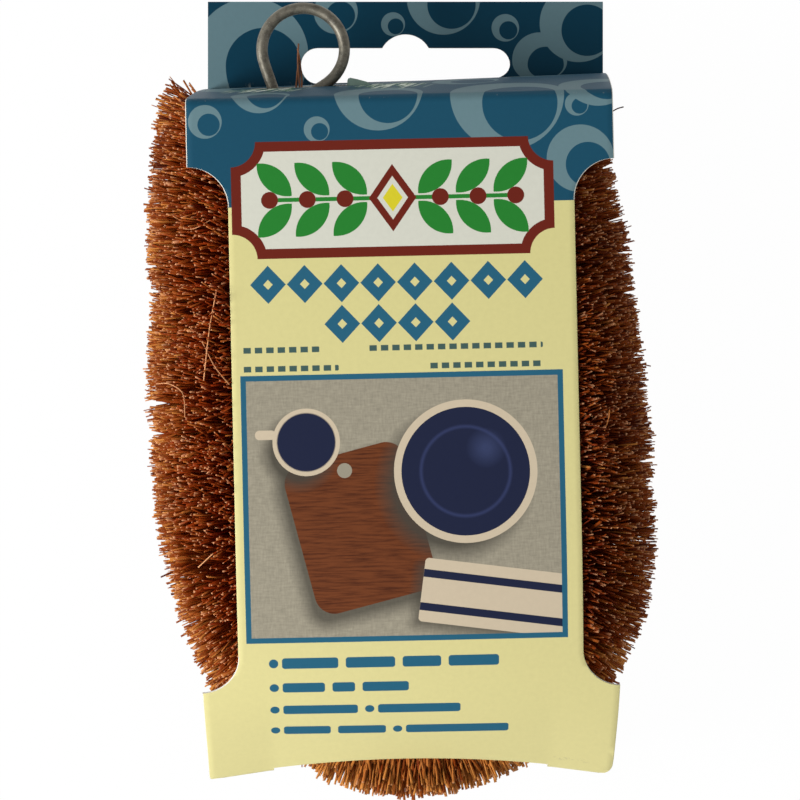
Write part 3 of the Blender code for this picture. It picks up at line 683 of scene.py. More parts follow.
def half_width(y, corner=FLARE_CORNER_RADIUS):
    """Half the card's width on the front and back panels: a waist between round-ended notches."""
    if y >= NOTCH_TOP_Y:
        return HALF_EDGE
    if y > NOTCH_TOP_Y - UPPER_NOTCH:
        return HALF_EDGE - math.sqrt(max(0, UPPER_NOTCH**2 - (y - NOTCH_TOP_Y + UPPER_NOTCH) ** 2))
    if y > NOTCH_FOOT_Y + LOWER_NOTCH:
        return HALF_WAIST
    if y > NOTCH_FOOT_Y:
        return HALF_FLARE - math.sqrt(max(0, LOWER_NOTCH**2 - (NOTCH_FOOT_Y + LOWER_NOTCH - y) ** 2))
    if y > BOTTOM_FOLD_Y + corner:
        return HALF_BOTTOM + (HALF_FLARE - HALF_BOTTOM) * (y - BOTTOM_FOLD_Y) / FLARE_HEIGHT
    drop = min(corner, BOTTOM_FOLD_Y + corner - y)
    return HALF_BOTTOM - corner + math.sqrt(corner**2 - drop**2)


def notch_rows():
    """The heights at which the round stretches of the card's side need a row of points."""
    rows = []
    for step in range(ARC_ROWS + 1):
        rise = math.sin(math.pi / 2 * step / ARC_ROWS)
        rows.append(NOTCH_TOP_Y - UPPER_NOTCH + UPPER_NOTCH * rise)
        rows.append(NOTCH_FOOT_Y + LOWER_NOTCH - LOWER_NOTCH * rise)
        rows.append(BOTTOM_FOLD_Y + FLARE_CORNER_RADIUS - FLARE_CORNER_RADIUS * rise)
    return rows


def arc_points(centre, radius, start, end, steps):
    """Points along an arc, at even steps."""
    turns = [start + (end - start) * step / steps for step in range(steps + 1)]
    return [(centre[0] + radius * math.cos(turn), centre[1] + radius * math.sin(turn)) for turn in turns]


def front_profile():
    """The front panel from the side, as (y, z), from the end of its flat part to the bottom fold."""
    points, slope = [(0, SLEEVE_DEPTH)], 0
    for radius, bend in ((UPPER_CURVE_RADIUS, UPPER_CURVE_BEND), (LOWER_CURVE_RADIUS, LOWER_CURVE_BEND)):
        y, z = points[-1]
        centre = (y + radius * math.sin(slope), z - radius * math.cos(slope))
        start = math.pi / 2 + slope
        points += arc_points(centre, radius, start, start + bend, 12)[1:]
        slope += bend
    y, z = points[-1]
    points.append((y - FRONT_SLOPE_LENGTH * math.cos(slope), z - FRONT_SLOPE_LENGTH * math.sin(slope)))
    flat_end = BOTTOM_FOLD_Y - points[-1][0]
    return [(flat_end + y, z) for y, z in points]


def fillet(before, corner, after, radius, steps=5):
    """The points of a rounded corner."""
    here = Vector(corner)
    back, ahead = (Vector(before) - here).normalized(), (Vector(after) - here).normalized()
    half = back.angle(ahead) / 2
    centre = here + (back + ahead).normalized() * radius / math.sin(half)
    start = here + back * radius / math.tan(half) - centre
    end = here + ahead * radius / math.tan(half) - centre
    first = math.atan2(start.y, start.x)
    return arc_points(centre, radius, first, first + math.atan2(start.cross(end), start.dot(end)), steps)


def row_stops(before, after, rows):
    """Where a straight stretch of card has rows, as shares of it: at even steps and at given heights."""
    steps = math.ceil((after - before).length / ROW_STEP)
    stops = {step / steps for step in range(1, steps + 1)}
    low, high = sorted((before.x, after.x))
    stops |= {(y - before.x) / (after.x - before.x) for y in rows if low < y < high}
    kept = [0]
    for stop in sorted(stops):
        if stop - kept[-1] > CLOSEST_ROWS or stop == 1:
            kept.append(stop)
    return kept[1:]


def card_line():
    """The outer side of the folded card as (y, z, panel), from the glue flap round to the header's top."""
    front = front_profile()
    flap_z = CARD_THICKNESS + GLUE_THICKNESS
    flap, rear = (REAR_FOLD_Y - GLUE_FLAP_HEIGHT, flap_z), (REAR_FOLD_Y, flap_z)
    bottom, back = front[-1], (BOTTOM_FOLD_Y + BOTTOM_PANEL_RISE, 0)
    header_foot, header_top = (REAR_FOLD_Y, 0), (HEADER_TOP_Y, 0)
    top_fold = fillet(rear, (TOP_FOLD_Y, SLEEVE_DEPTH), front[0], TOP_FOLD_RADIUS, 8)
    bottom_fold = fillet(front[-2], bottom, back, BOTTOM_FOLD_RADIUS)
    back_fold = fillet(bottom, back, header_top, BACK_FOLD_RADIUS)
    runs = (
        ("flap", [rear]),
        ("top", top_fold[:5]),
        ("front", [*top_fold[5:], *front[:-1], *bottom_fold[:3]]),
        ("bottom", [*bottom_fold[3:], *back_fold[:3]]),
        ("back", [*back_fold[3:], header_foot]),
        ("header", [header_top]),
    )
    rows = notch_rows()
    line = [(*flap, "flap")]
    for panel, points in runs:
        before = Vector(line[-1][:2])
        for point in points:
            after = Vector(point)
            for stop in row_stops(before, after, rows if panel in ("front", "back") else ()):
                line.append((*before.lerp(after, stop), panel))
            before = after
    return line


def row_slant(points, index):
    """The card's normal at a row, and how far below its outer side the inner side lies there."""
    before, after = points[max(0, index - 1)], points[min(len(points) - 1, index + 1)]
    tangent_in = (points[index] - before).normalized() if index else (after - points[index]).normalized()
    tangent_out = (after - points[index]).normalized() if index + 1 < len(points) else tangent_in
    tangent = (tangent_in + tangent_out).normalized()
    return Vector((tangent.y, -tangent.x)), CARD_THICKNESS / max(SHARPEST_FOLD, tangent.dot(tangent_in))


def row_columns(y, panel):
    """The places across the card at a row, with a narrow column for the rim at either side."""
    left_reach = reach = HALF_EDGE
    if panel in ("front", "back"):
        left_reach, reach = half_width(y, LEFT_CORNER_RADIUS), half_width(y)
    if panel == "bottom":
        left_reach = reach = HALF_BOTTOM - FLARE_CORNER_RADIUS
    low, high = SLEEVE_SHIFT - left_reach, SLEEVE_SHIFT + reach
    width = high - low - 2 * RIM_WIDTH
    return [low, *(low + RIM_WIDTH + width * i / COLUMNS for i in range(COLUMNS + 1)), high]


def card_mesh():
    """The card as a grid of rows and columns with its thickness, and its print coordinates as a UV map."""
    line = card_line()
    panels = [panel for _, _, panel in line]
    points = [Vector(row[:2]) for row in line]
    lengths = [0.0]
    for before, after in zip(points, points[1:]):
        lengths.append(lengths[-1] + (after - before).length)
    fold_length = lengths[len(panels) - 1 - panels[::-1].index("top")]
    heights = [(TOP_FOLD_Y - (reach - fold_length)) * MM for reach in lengths]
    shape = bmesh.new()
    uv = shape.loops.layers.uv.new("print")
    outer, inner, spans = [], [], []
    for index, (y, z, panel) in enumerate(line):
        normal, depth = row_slant(points, index)
        across = row_columns(y, panel)
        row_out, row_in = [], []
        for x in across:
            rim = RIM_DROP if x in (across[0], across[-1]) else 0
            row_out.append(shape.verts.new((x, y - normal.x * rim, z - normal.y * rim)))
            row_in.append(shape.verts.new((x, y - normal.x * depth, z - normal.y * depth)))
        outer.append(row_out)
        inner.append(row_in)
        spans.append(across)

    def add_face(verts, material, coordinates=((0, 0),) * 4):
        face = shape.faces.new(verts)
        face.material_index = material
        for loop, coordinate in zip(face.loops, coordinates):
            loop[uv].uv = coordinate

    last_column = len(spans[0]) - 2
    for k in range(len(line) - 1):
        above, below = points[k].x > WAIST_TOP_Y, points[k].x < WAIST_FOOT_Y
        for i in range(last_column + 1):
            corners = ((k, i), (k, i + 1), (k + 1, i + 1), (k + 1, i))
            rim = (i == 0 and (above or below)) or (i == last_column and above)
            flat = [(spans[a][b] * MM, heights[a]) for a, b in corners]
            add_face([outer[a][b] for a, b in corners], EDGE if rim else PRINTED, flat)
            back_flat = [
                (spans[a][b] * MM, HEADER_V + (points[a].x - REAR_FOLD_Y) * MM) for a, b in corners[::-1]
            ]
            back = PRINTED if panels[k + 1] == "header" else INNER
            add_face([inner[a][b] for a, b in corners[::-1]], back, back_flat)
        for i in (0, -1):
            verts = (outer[k][i], outer[k + 1][i], inner[k + 1][i], inner[k][i])
            add_face(verts if i == 0 else verts[::-1], EDGE)
    for k in (0, -1):
        for i in range(last_column + 1):
            verts = (outer[k][i], inner[k][i], inner[k][i + 1], outer[k][i + 1])
            add_face(verts if k == 0 else verts[::-1], EDGE)
    return closed_mesh(shape, "card")


def closed_mesh(shape, name):
    """The mesh of a closed shape, with its faces pointing out."""
    bmesh.ops.recalc_face_normals(shape, faces=shape.faces)
    mesh = bpy.data.meshes.new(name)
    shape.to_mesh(mesh)
    shape.free()
    return mesh


def plate_mesh(name, outline, low, high, material=EDGE, axes=Matrix.Identity(4)):
    """A flat solid from an outline. As a cutter it leaves bare board at its sides."""
    shape = bmesh.new()
    bottom, top = ([shape.verts.new(axes @ Vector((x, y, z))) for x, y in outline] for z in (low, high))
    shape.faces.new(bottom[::-1])
    shape.faces.new(top)
    for k in range(len(outline)):
        j = (k + 1) % len(outline)
        shape.faces.new((bottom[k], bottom[j], top[j], top[k]))
    for face in shape.faces:
        face.material_index = material
    return closed_mesh(shape, name)


def slot_outline(centre, slot_length, height, steps=14):
    """A slot with round ends."""
    radius, quarter = height / 2, math.pi / 2
    reach = slot_length / 2 - radius
    right = arc_points((centre[0] + reach, centre[1]), radius, -quarter, quarter, steps)
    return right + arc_points((centre[0] - reach, centre[1]), radius, quarter, 3 * quarter, steps)


def window_outline(steps=40):
    """The bottom panel's open middle, seen from the front, with an arched upper edge."""
    half, below = WINDOW_WIDTH / 2, BOTTOM_FOLD_Y - SLEEVE_DEPTH
    outline = []
    for step in range(steps + 1):
        x = half - WINDOW_WIDTH * step / steps
        arch = WINDOW_ARCH * (1 - (x / half) ** 2)
        outline.append((SLEEVE_SHIFT + x, BOTTOM_FOLD_Y + WINDOW_ABOVE_FOLD + arch))
    return outline + [(SLEEVE_SHIFT - half, below), (SLEEVE_SHIFT + half, below)]


def card_cutters():
    """The solids that cut the euro slot, its bump, the ring's slot and the bottom's open middle."""
    slot_top = HEADER_TOP_Y - EURO_SLOT_DROP
    slot = slot_outline((SLEEVE_SHIFT, slot_top - EURO_SLOT_HEIGHT / 2), EURO_SLOT_LENGTH, EURO_SLOT_HEIGHT)
    bump_centre = (SLEEVE_SHIFT, slot_top + EURO_BUMP_HEIGHT - EURO_BUMP_RADIUS)
    bump = arc_points(bump_centre, EURO_BUMP_RADIUS, 0, math.pi, 24)
    low, high = -CARD_THICKNESS, 2 * CARD_THICKNESS
    middle = ring_centre()
    ring_slot = slot_outline(
        (middle[0], middle[2]), RING_OUTER_DIAMETER + RING_SLOT_SPARE, WIRE_DIAMETER + RING_SLOT_SPARE
    )
    along_y = Matrix(((1, 0, 0, 0), (0, 0, -1, 0), (0, 1, 0, 0), (0, 0, 0, 1)))
    meshes = (
        plate_mesh("slot_cutter", slot, low, high),
        plate_mesh("bump_cutter", bump, low, high),
        plate_mesh("ring_slot_cutter", ring_slot, -REAR_FOLD_Y, -TOP_FOLD_Y, axes=along_y),
        plate_mesh("window_cutter", window_outline(), CARD_THICKNESS + GLUE_THICKNESS, SLEEVE_DEPTH),
    )
    return [linked(mesh.name, mesh) for mesh in meshes]


# How the card is bent out of its flat panels
FRONT_ROLL = math.radians(1.27)
FRONT_PIVOT_Y = -0.005
REAR_FOLD_ROLL = math.radians(1.9)
REAR_FOLD_EASE = 0.004
TOP_BULGE, TOP_BULGE_SKEW = 0.0012, 0.0006
BULGE, BULGE_TOP_Y, BULGE_HEIGHT, BULGE_FROM = 0.0012, -0.012, 0.045, 0.3
BOTTOM_RISE, BOTTOM_RISE_WIDTH, BOTTOM_RISE_TOP_Y = 0.0019, 0.0130, -0.055


def bottom_rise(aside, y):
    """How far the bottom fold lies above its outer corners."""
    inward = np.clip((HALF_BOTTOM - np.abs(aside)) / BOTTOM_RISE_WIDTH, 0, 1)
    return BOTTOM_RISE * inward * np.clip((BOTTOM_RISE_TOP_Y - y) / (BOTTOM_RISE_TOP_Y - BOTTOM_FOLD_Y), 0, 1)


def top_bulge(aside, share):
    """How far the top panel bulges over the fibre, more at its right."""
    return (TOP_BULGE + TOP_BULGE_SKEW * aside / HALF_EDGE) * 4 * share * (1 - share)


def press_card(points):
    """The card as it sits on the brush: its front is rolled a little, its rear fold is crooked, the middle of
    its bottom fold is raised, and its top and lower front bulge over the fibre."""
    x, y, z = points.T.copy()
    front = np.clip(z / SLEEVE_DEPTH, 0, 1)
    aside = x - SLEEVE_SHIFT
    behind = (y > TOP_FOLD_Y) * np.clip(1 - (y - REAR_FOLD_Y) / REAR_FOLD_EASE, 0, 1) * (1 - front)
    moved_y = y + (FRONT_ROLL * front + REAR_FOLD_ROLL * behind) * aside + bottom_rise(aside, y)
    moved_y += top_bulge(aside, front) * (y > TOP_FOLD_Y) * (z > 2 * CARD_THICKNESS + GLUE_THICKNESS)
    moved_x = x - FRONT_ROLL * front * (y - FRONT_PIVOT_Y)
    lower = np.clip((BULGE_TOP_Y - y) / BULGE_HEIGHT, 0, 1)
    crown = np.clip(1 - (aside / HALF_EDGE) ** 2, 0, 1)
    moved_z = z + BULGE * lower * crown * (front > BULGE_FROM)
    return np.stack([moved_x, moved_y, moved_z], axis=1)


def make_card():
    """The printed sleeve, cut, bent and sharp at its edges."""
    raw = linked("raw_card", card_mesh())
    cutters = card_cutters()
    boards = (board_material("card_edge", BOARD_WHITE), board_material("card_inner", BOARD_GREY))
    for material in (print_material(), *boards):
        for obj in (raw, *cutters):
            obj.data.materials.append(material)
    for cutter in cutters:
        modifier = raw.modifiers.new(cutter.name, "BOOLEAN")
        modifier.operation, modifier.solver, modifier.object = "DIFFERENCE", "EXACT", cutter
    mesh = evaluated_mesh(raw)
    for cutter in cutters:
        bpy.data.objects.remove(cutter)
    places = np.zeros(len(mesh.vertices) * 3, np.float32)
    mesh.vertices.foreach_get("co", places)
    mesh.vertices.foreach_set("co", press_card(places.reshape(-1, 3)).astype(np.float32).ravel())
    mesh.update()
    mesh.shade_smooth()
    mesh.set_sharp_from_angle(angle=CARD_SHARP_ANGLE)
    add_object("printed_sleeve", mesh, (), ("card_sleeve",), smooth=False)


# The lip of card lifted at the right end of the ring's slot: its outline in millimetres, and its height
SLOT_LIP = (
    (-11.6, 63.0), (-11.5, 65.1), (-11.3, 65.5), (-10.9, 65.65),
    (-9.4, 65.35), (-7.2, 64.75), (-6.6, 64.2), (-6.4, 63.0),
)
SLOT_LIP_Z = 0.0252


def make_slot_lip():
    """The lifted lip, upright behind the top panel."""
    outline = [(x / MM, y / MM) for x, y in SLOT_LIP]
    mesh = plate_mesh("slot_lip", outline, SLOT_LIP_Z, SLOT_LIP_Z + CARD_THICKNESS, material=0)
    add_object("slot_lip", mesh, (board_material("slot_lip", LIP_GREEN),), smooth=False)


# The stem and the wire


def stem(distance):
    """Place, direction and outward side of the stem at distances from the neck below the ring."""
    distance = np.atleast_1d(np.asarray(distance, float))
    up = np.array((math.sin(LEG_LEAN), math.cos(LEG_LEAN)))
    left_foot = BEND_RADIUS * np.array((-up[1], up[0]))
    right_foot = BEND_RADIUS * np.array((up[1], up[0]))
    mirrored = np.array((-up[0], up[1]))
    turn = math.pi - LEG_LEAN + (distance - LEG_AND_NECK) / BEND_RADIUS
    in_bend = BEND_RADIUS * np.stack([np.cos(turn), np.sin(turn)], 1)
    bend_way = np.stack([-np.sin(turn), np.cos(turn)], 1)
    on_left = (distance < LEG_AND_NECK)[:, None]
    on_right = (distance >= LEG_AND_NECK + BEND_LENGTH)[:, None]
    left = left_foot + up * (LEG_AND_NECK - distance)[:, None]
    right = right_foot + mirrored * (distance - LEG_AND_NECK - BEND_LENGTH)[:, None]
    place = np.where(on_left, left, np.where(on_right, right, in_bend))
    way = np.where(on_left, -up, np.where(on_right, mirrored, bend_way))
    turned_by = np.array(
        ((math.cos(BRUSH_TURN), math.sin(BRUSH_TURN)), (-math.sin(BRUSH_TURN), math.cos(BRUSH_TURN)))
    )
    place, way = place @ turned_by, way @ turned_by
    flat = np.zeros((len(distance), 1))
    place = np.concatenate([place, flat], 1) + BEND_CENTRE
    way = np.concatenate([way, flat], 1)
    return place, way, np.stack([way[:, 1], -way[:, 0], flat[:, 0]], 1)


def ring_centre():
    """The middle of the hanging ring."""
    return stem(0)[0][0] + np.array((RING_ASIDE, RING_ABOVE_NECK, 0))


def wire_strand(phase):
    """One strand of the twist, from the neck along the stem to its cut end."""
    reach = STEM_LENGTH + WIRE_END_LENGTH
    distance = np.linspace(0, reach, round(reach / WIRE_STEP))
    place, _, side = stem(distance)
    eased = np.where(distance < TWIST_EASE, distance**2 / (2 * TWIST_EASE), distance - TWIST_EASE / 2)
    turn = (2 * math.pi * eased / TWIST_PITCH + phase)[:, None]
    return place + TWIST_RADIUS * (np.cos(turn) * side + np.sin(turn) * np.array((0, 0, 1)))


def ring_leg(neck_end, side):
    """The wire from the neck to the ring, and the angle on the ring where it arrives."""
    centre = ring_centre()
    line = Vector(centre - neck_end)
    reach = math.sqrt(line.length_squared - RING_RADIUS**2)
    way = Matrix.Rotation(side * math.asin(RING_RADIUS / line.length), 3, "Z") @ line.normalized()
    touch = Vector(neck_end) + way * reach
    upward = Vector(-stem(0)[1][0])
    t = np.linspace(0, 1, RING_LEG_POINTS)[1:-1, None]
    start, start_way, end, end_way = (np.array(v) for v in (neck_end, upward * reach, touch, way * reach))
    points = (2 * t**3 - 3 * t**2 + 1) * start + (t**3 - 2 * t**2 + t) * start_way
    points += (3 * t**2 - 2 * t**3) * end + (t**3 - t**2) * end_way
    out = touch - Vector(centre)
    return points, math.atan2(out.y, out.x) % (2 * math.pi)


def wire_route():
    """The whole wire, from one cut end through the ring to the other."""
    left, right = wire_strand(0), wire_strand(math.pi)
    left_leg, left_angle = ring_leg(left[0], 1)
    right_leg, right_angle = ring_leg(right[0], -1)
    turn = np.linspace(left_angle, right_angle - 2 * math.pi, RING_POINTS)
    centre = ring_centre()
    loop = centre + RING_RADIUS * np.stack([np.cos(turn), np.sin(turn), 0 * turn], 1)
    return np.concatenate([left[::-1], left_leg, loop, right_leg[::-1], right])


def evaluated_mesh(obj):
    """The mesh that an object has after its modifiers or its bevel. The object is removed."""
    bpy.context.view_layer.update()
    mesh = bpy.data.meshes.new_from_object(obj.evaluated_get(bpy.context.evaluated_depsgraph_get()))
    bpy.data.objects.remove(obj)
    return mesh


def make_wire():
    """The galvanised wire as one closed tube."""
    curve = bpy.data.curves.new("wire", "CURVE")
    curve.dimensions = "3D"
    curve.bevel_depth = WIRE_DIAMETER / 2
    curve.bevel_resolution = 5
    curve.use_fill_caps = True
    route = wire_route()
    spline = curve.splines.new("POLY")
    spline.points.add(len(route) - 1)
    places = np.concatenate([route, np.ones((len(route), 1))], 1)
    spline.points.foreach_set("co", places.astype(np.float32).ravel())
    mesh = evaluated_mesh(linked("wire_curve", curve))
    welded = bmesh.new()
    welded.from_mesh(mesh)
    bmesh.ops.remove_doubles(welded, verts=welded.verts, dist=1e-6)
    welded.to_mesh(mesh)
    welded.free()
    mesh.materials.clear()
    add_object("galvanised_wire", mesh, (wire_material(),), ("twisted_wire",))
    mesh.set_sharp_from_angle(angle=WIRE_SHARP_ANGLE)


# Coir fibre

FIBRES_PER_METRE = 200000
FIBRE_THICKNESS, THICKNESS_SPREAD = 0.00038, 0.26
FIBRE_ROOT_RADIUS = 0.0016
FIBRE_STOPS = np.array((0.0, 0.3, 0.52, 0.7, 0.86, 1.0))
FIBRE_TAPER = 1.04 - 0.12 * FIBRE_STOPS
GOLDEN_ANGLE, ANGLE_SPREAD = math.pi * (3 - math.sqrt(5)), 0.05
SPIN_RANGE = 6.28
FLOOR_MARGIN, FLOOR_SHARE = 0.00015, 0.3
CARD_MARGINS = (0.0002, 0.0022)
CARD_SLOPE = 1.6
UNRULY_SHARE, UNRULY_TIMES, PRESSED_TIMES = 0.12, 2.4, 1.8
SHORT_SHARE, SHORT_BY, REACH_SPREAD = 0.12, 0.0026, 0.00012
TIP_BEND, FIBRE_WAVE = 0.0014, 0.0004
# Broad and small clumps: their wavelengths, and how far they sway the fibres' lean, reach and tone
CLUMP_WAVES = 9
BROAD_CLUMPS, SMALL_CLUMPS = (0.012, 0.030), (0.003, 0.0065)
CLUMP_LEAN, LEAN_SPREAD = (math.radians(2.6), math.radians(4.2)), math.radians(1.9)
CLUMP_REACH = (0.0004, 0.00035)
# How much paler the fibres that point aside are: painted light on the outer fibres
CLUMP_TONE, ASIDE_PAINTED_LIGHT = (0.11, 0.13), 0.14
# The tone of a fibre, the shares of painted red glow it takes, and what its place adds at shares of the
# stem's length:
# paler at the round bottom, as painted light, where the matted fibres are also coarser and more alike, and
# darker on the right, as painted shade
MIDDLE_TONE, TONE_SPREAD, PAINTED_GLOW_SHARES = 0.5, 0.42, (0.4, 1)
TONE = ((0.0, 0.0), (0.38, 0.03), (0.45, 0.46), (0.52, 0.46), (0.62, -0.08), (1.0, -0.08))
COARSER_BELOW, EVENER_BELOW = 1.3, 1.2
# The shade of the right lobe on its inner fibres, and where along the stem it starts
SHADED_TONE, SHADED_RED, SHADED_FROM = 0.22, 0.45, STEM_LENGTH / 2 + BEND_LENGTH / 4
# Slits between the tufts at the outer side: millimetres along the stem, and half the slit's width at the tips
PARTINGS = (
    (4.2, 0.30), (19.0, 0.35), (23.8, 0.25), (32.2, 0.25), (60.8, 0.40), (67.2, 0.40),
    (89.8, 0.40), (94.2, 0.30), (98.0, 0.30), (126.2, 0.40), (132.0, 0.45), (134.8, 0.60),
    (139.0, 0.40), (164.5, 0.30), (169.5, 0.30), (176.5, 0.30), (182.8, 0.25), (187.8, 0.30),
    (223.2, 0.35), (238.5, 0.55), (242.0, 0.35), (245.2, 0.30), (249.0, 0.30),
)
PARTING_WIDTH, PARTING_TIMES = 0.0026, 1.25
PARTING_FACING, PARTING_EASE = 0.70, 8


def ripple(chance, distance, angle, wavelengths, amplitude):
    """A smooth random field over the length of the stem and the angle round it."""
    total = np.zeros_like(distance)
    for _ in range(CLUMP_WAVES):
        wavelength = chance.uniform(*wavelengths)
        heading = chance.uniform(0, math.pi)
        turns = round(2 * math.pi * FIBRE_REACH / wavelength * math.sin(heading))
        along = 2 * math.pi / wavelength * math.cos(heading)
        total += np.sin(along * distance + turns * angle + chance.uniform(0, 2 * math.pi))
    return amplitude * total / math.sqrt(CLUMP_WAVES / 2)


def strand_reach(distance):
    """The trimmed length of the fibres, which was cut by hand."""
    from_middle = np.abs(distance - LEG_AND_NECK - BEND_LENGTH / 2)
    flared = FIBRE_REACH + math.tan(LOBE_FLARE) * np.maximum(0, from_middle - BEND_LENGTH / 2)
    share = np.interp(distance / STEM_LENGTH, *zip(*TRIM))
    return flared + share * FIBRE_REACH


HALF_WIDTH_ROWS = np.linspace(BOTTOM_FOLD_Y, REAR_FOLD_Y, 600)
HALF_WIDTHS = np.array([half_width(y) for y in HALF_WIDTH_ROWS])
FRONT_LINE = np.array([(TOP_FOLD_Y, SLEEVE_DEPTH), *front_profile()])[::-1]
EDGE_SPARE = 0.0007


def settle_fibres(points, margin):
    """Fibres bent aside where they would pass through the card or the floor."""
    x, y, z = points[..., 0], points[..., 1], points[..., 2]
    share = np.clip(z / SLEEVE_DEPTH, 0, 1)
    aside = x + FRONT_ROLL * share * (y - FRONT_PIVOT_Y) - SLEEVE_SHIFT
    shift_y = FRONT_ROLL * share * aside + bottom_rise(aside, y)
    card_y = y - shift_y
    cover = np.interp(card_y, FRONT_LINE[:, 0], FRONT_LINE[:, 1])
    beside = np.abs(aside) - np.interp(card_y, HALF_WIDTH_ROWS, HALF_WIDTHS)
    outside = np.maximum(beside, BOTTOM_FOLD_Y - card_y)
    slack = CARD_SLOPE * np.maximum(outside - EDGE_SPARE, 0)
    z = np.minimum(z, cover - CARD_THICKNESS - margin + slack)
    z = np.maximum(z, 2 * CARD_THICKNESS + GLUE_THICKNESS + margin - slack)
    z = np.maximum(z, FLOOR_MARGIN + margin * FLOOR_SHARE)
    top = REAR_FOLD_Y + (TOP_FOLD_Y - REAR_FOLD_Y) * z / SLEEVE_DEPTH
    top += (FRONT_ROLL * share + REAR_FOLD_ROLL * (1 - share)) * aside
    slack = CARD_SLOPE * np.maximum(np.abs(aside) - HALF_EDGE - EDGE_SPARE, 0)
    y = np.minimum(y, top - CARD_THICKNESS - margin + slack)
    strip = (np.abs(aside) > WINDOW_WIDTH / 2 - EDGE_SPARE) & (np.abs(aside) < HALF_BOTTOM)
    strip &= z < FRONT_LINE[0, 1]
    low = BOTTOM_FOLD_Y + BOTTOM_PANEL_RISE + CARD_THICKNESS + margin + bottom_rise(aside, y)
    return np.stack([x, np.where(strip, np.maximum(y, low), y), z], axis=-1)


def tubes_mesh(name, paths, thickness, spin, colours):
    """Three-sided tubes along paths, with closed ends. Colours hold a fibre's tone, the share along it and
    how much painted red glow its place gives it, which stands in for light passed through the fibres."""
    count, stops = paths.shape[:2]
    way = paths[:, -1] - paths[:, 0]
    way /= np.linalg.norm(way, axis=1, keepdims=True)
    aside = np.cross(way, np.where(np.abs(way[:, 2:]) < 0.8, (0, 0, 1), (1, 0, 0)))
    aside /= np.linalg.norm(aside, axis=1, keepdims=True)
    above = np.cross(way, aside)
    corner = spin[:, None] + np.arange(3) * 2 * math.pi / 3
    round_it = np.cos(corner)[..., None] * aside[:, None] + np.sin(corner)[..., None] * above[:, None]
    verts = paths[:, :, None, :] + thickness[:, :, None, None] / 2 * round_it[:, None]
    verts = verts.reshape(-1, 3)
    index = np.arange(count * stops * 3).reshape(count, stops, 3)
    ahead = np.roll(index, -1, axis=2)
    quads = np.stack([index[:, :-1], ahead[:, :-1], ahead[:, 1:], index[:, 1:]], axis=-1).reshape(-1)
    caps = np.concatenate([index[:, 0, ::-1], index[:, -1]], axis=1).reshape(-1)
    loops = np.concatenate([quads, caps])
    starts = np.concatenate([np.arange(0, len(quads), 4), len(quads) + np.arange(0, len(caps), 3)])
    mesh = bpy.data.meshes.new(name)
    mesh.vertices.add(len(verts))
    mesh.vertices.foreach_set("co", verts.astype(np.float32).ravel())
    mesh.loops.add(len(loops))
    mesh.loops.foreach_set("vertex_index", loops.astype(np.int32))
    mesh.polygons.add(len(starts))
    mesh.polygons.foreach_set("loop_start", starts.astype(np.int32))
    mesh.update(calc_edges=True)
    tint = np.ones((count, stops, 3, 4), np.float32)
    tint[..., :3] = colours[:, :, None, :]
    mesh.attributes.new("fibre", "FLOAT_COLOR", "POINT").data.foreach_set("color", tint.ravel())
    return mesh


def clumps(number, distance, angle, amplitudes):
    """One of the fields of clumps, with a broad and a small amplitude. It runs over the whole brush, so that
    neighbouring bundles match."""
    chance = np.random.default_rng(CLUMP_SEED + number)
    broad = ripple(chance, distance, angle, BROAD_CLUMPS, amplitudes[0])
    return broad + ripple(chance, distance, angle, SMALL_CLUMPS, amplitudes[1])


def parting(tip, angle):
    """How far the outermost fibres are pushed along the stem, away from the middles of the slits."""
    push = np.zeros_like(tip)
    for middle, half in PARTINGS:
        off = tip - middle / MM
        push += np.sign(off) * PARTING_TIMES * half / MM * np.clip(1 - np.abs(off) / PARTING_WIDTH, 0, 1)
    return push * np.clip((np.cos(angle) - PARTING_FACING) * PARTING_EASE, 0, 1)


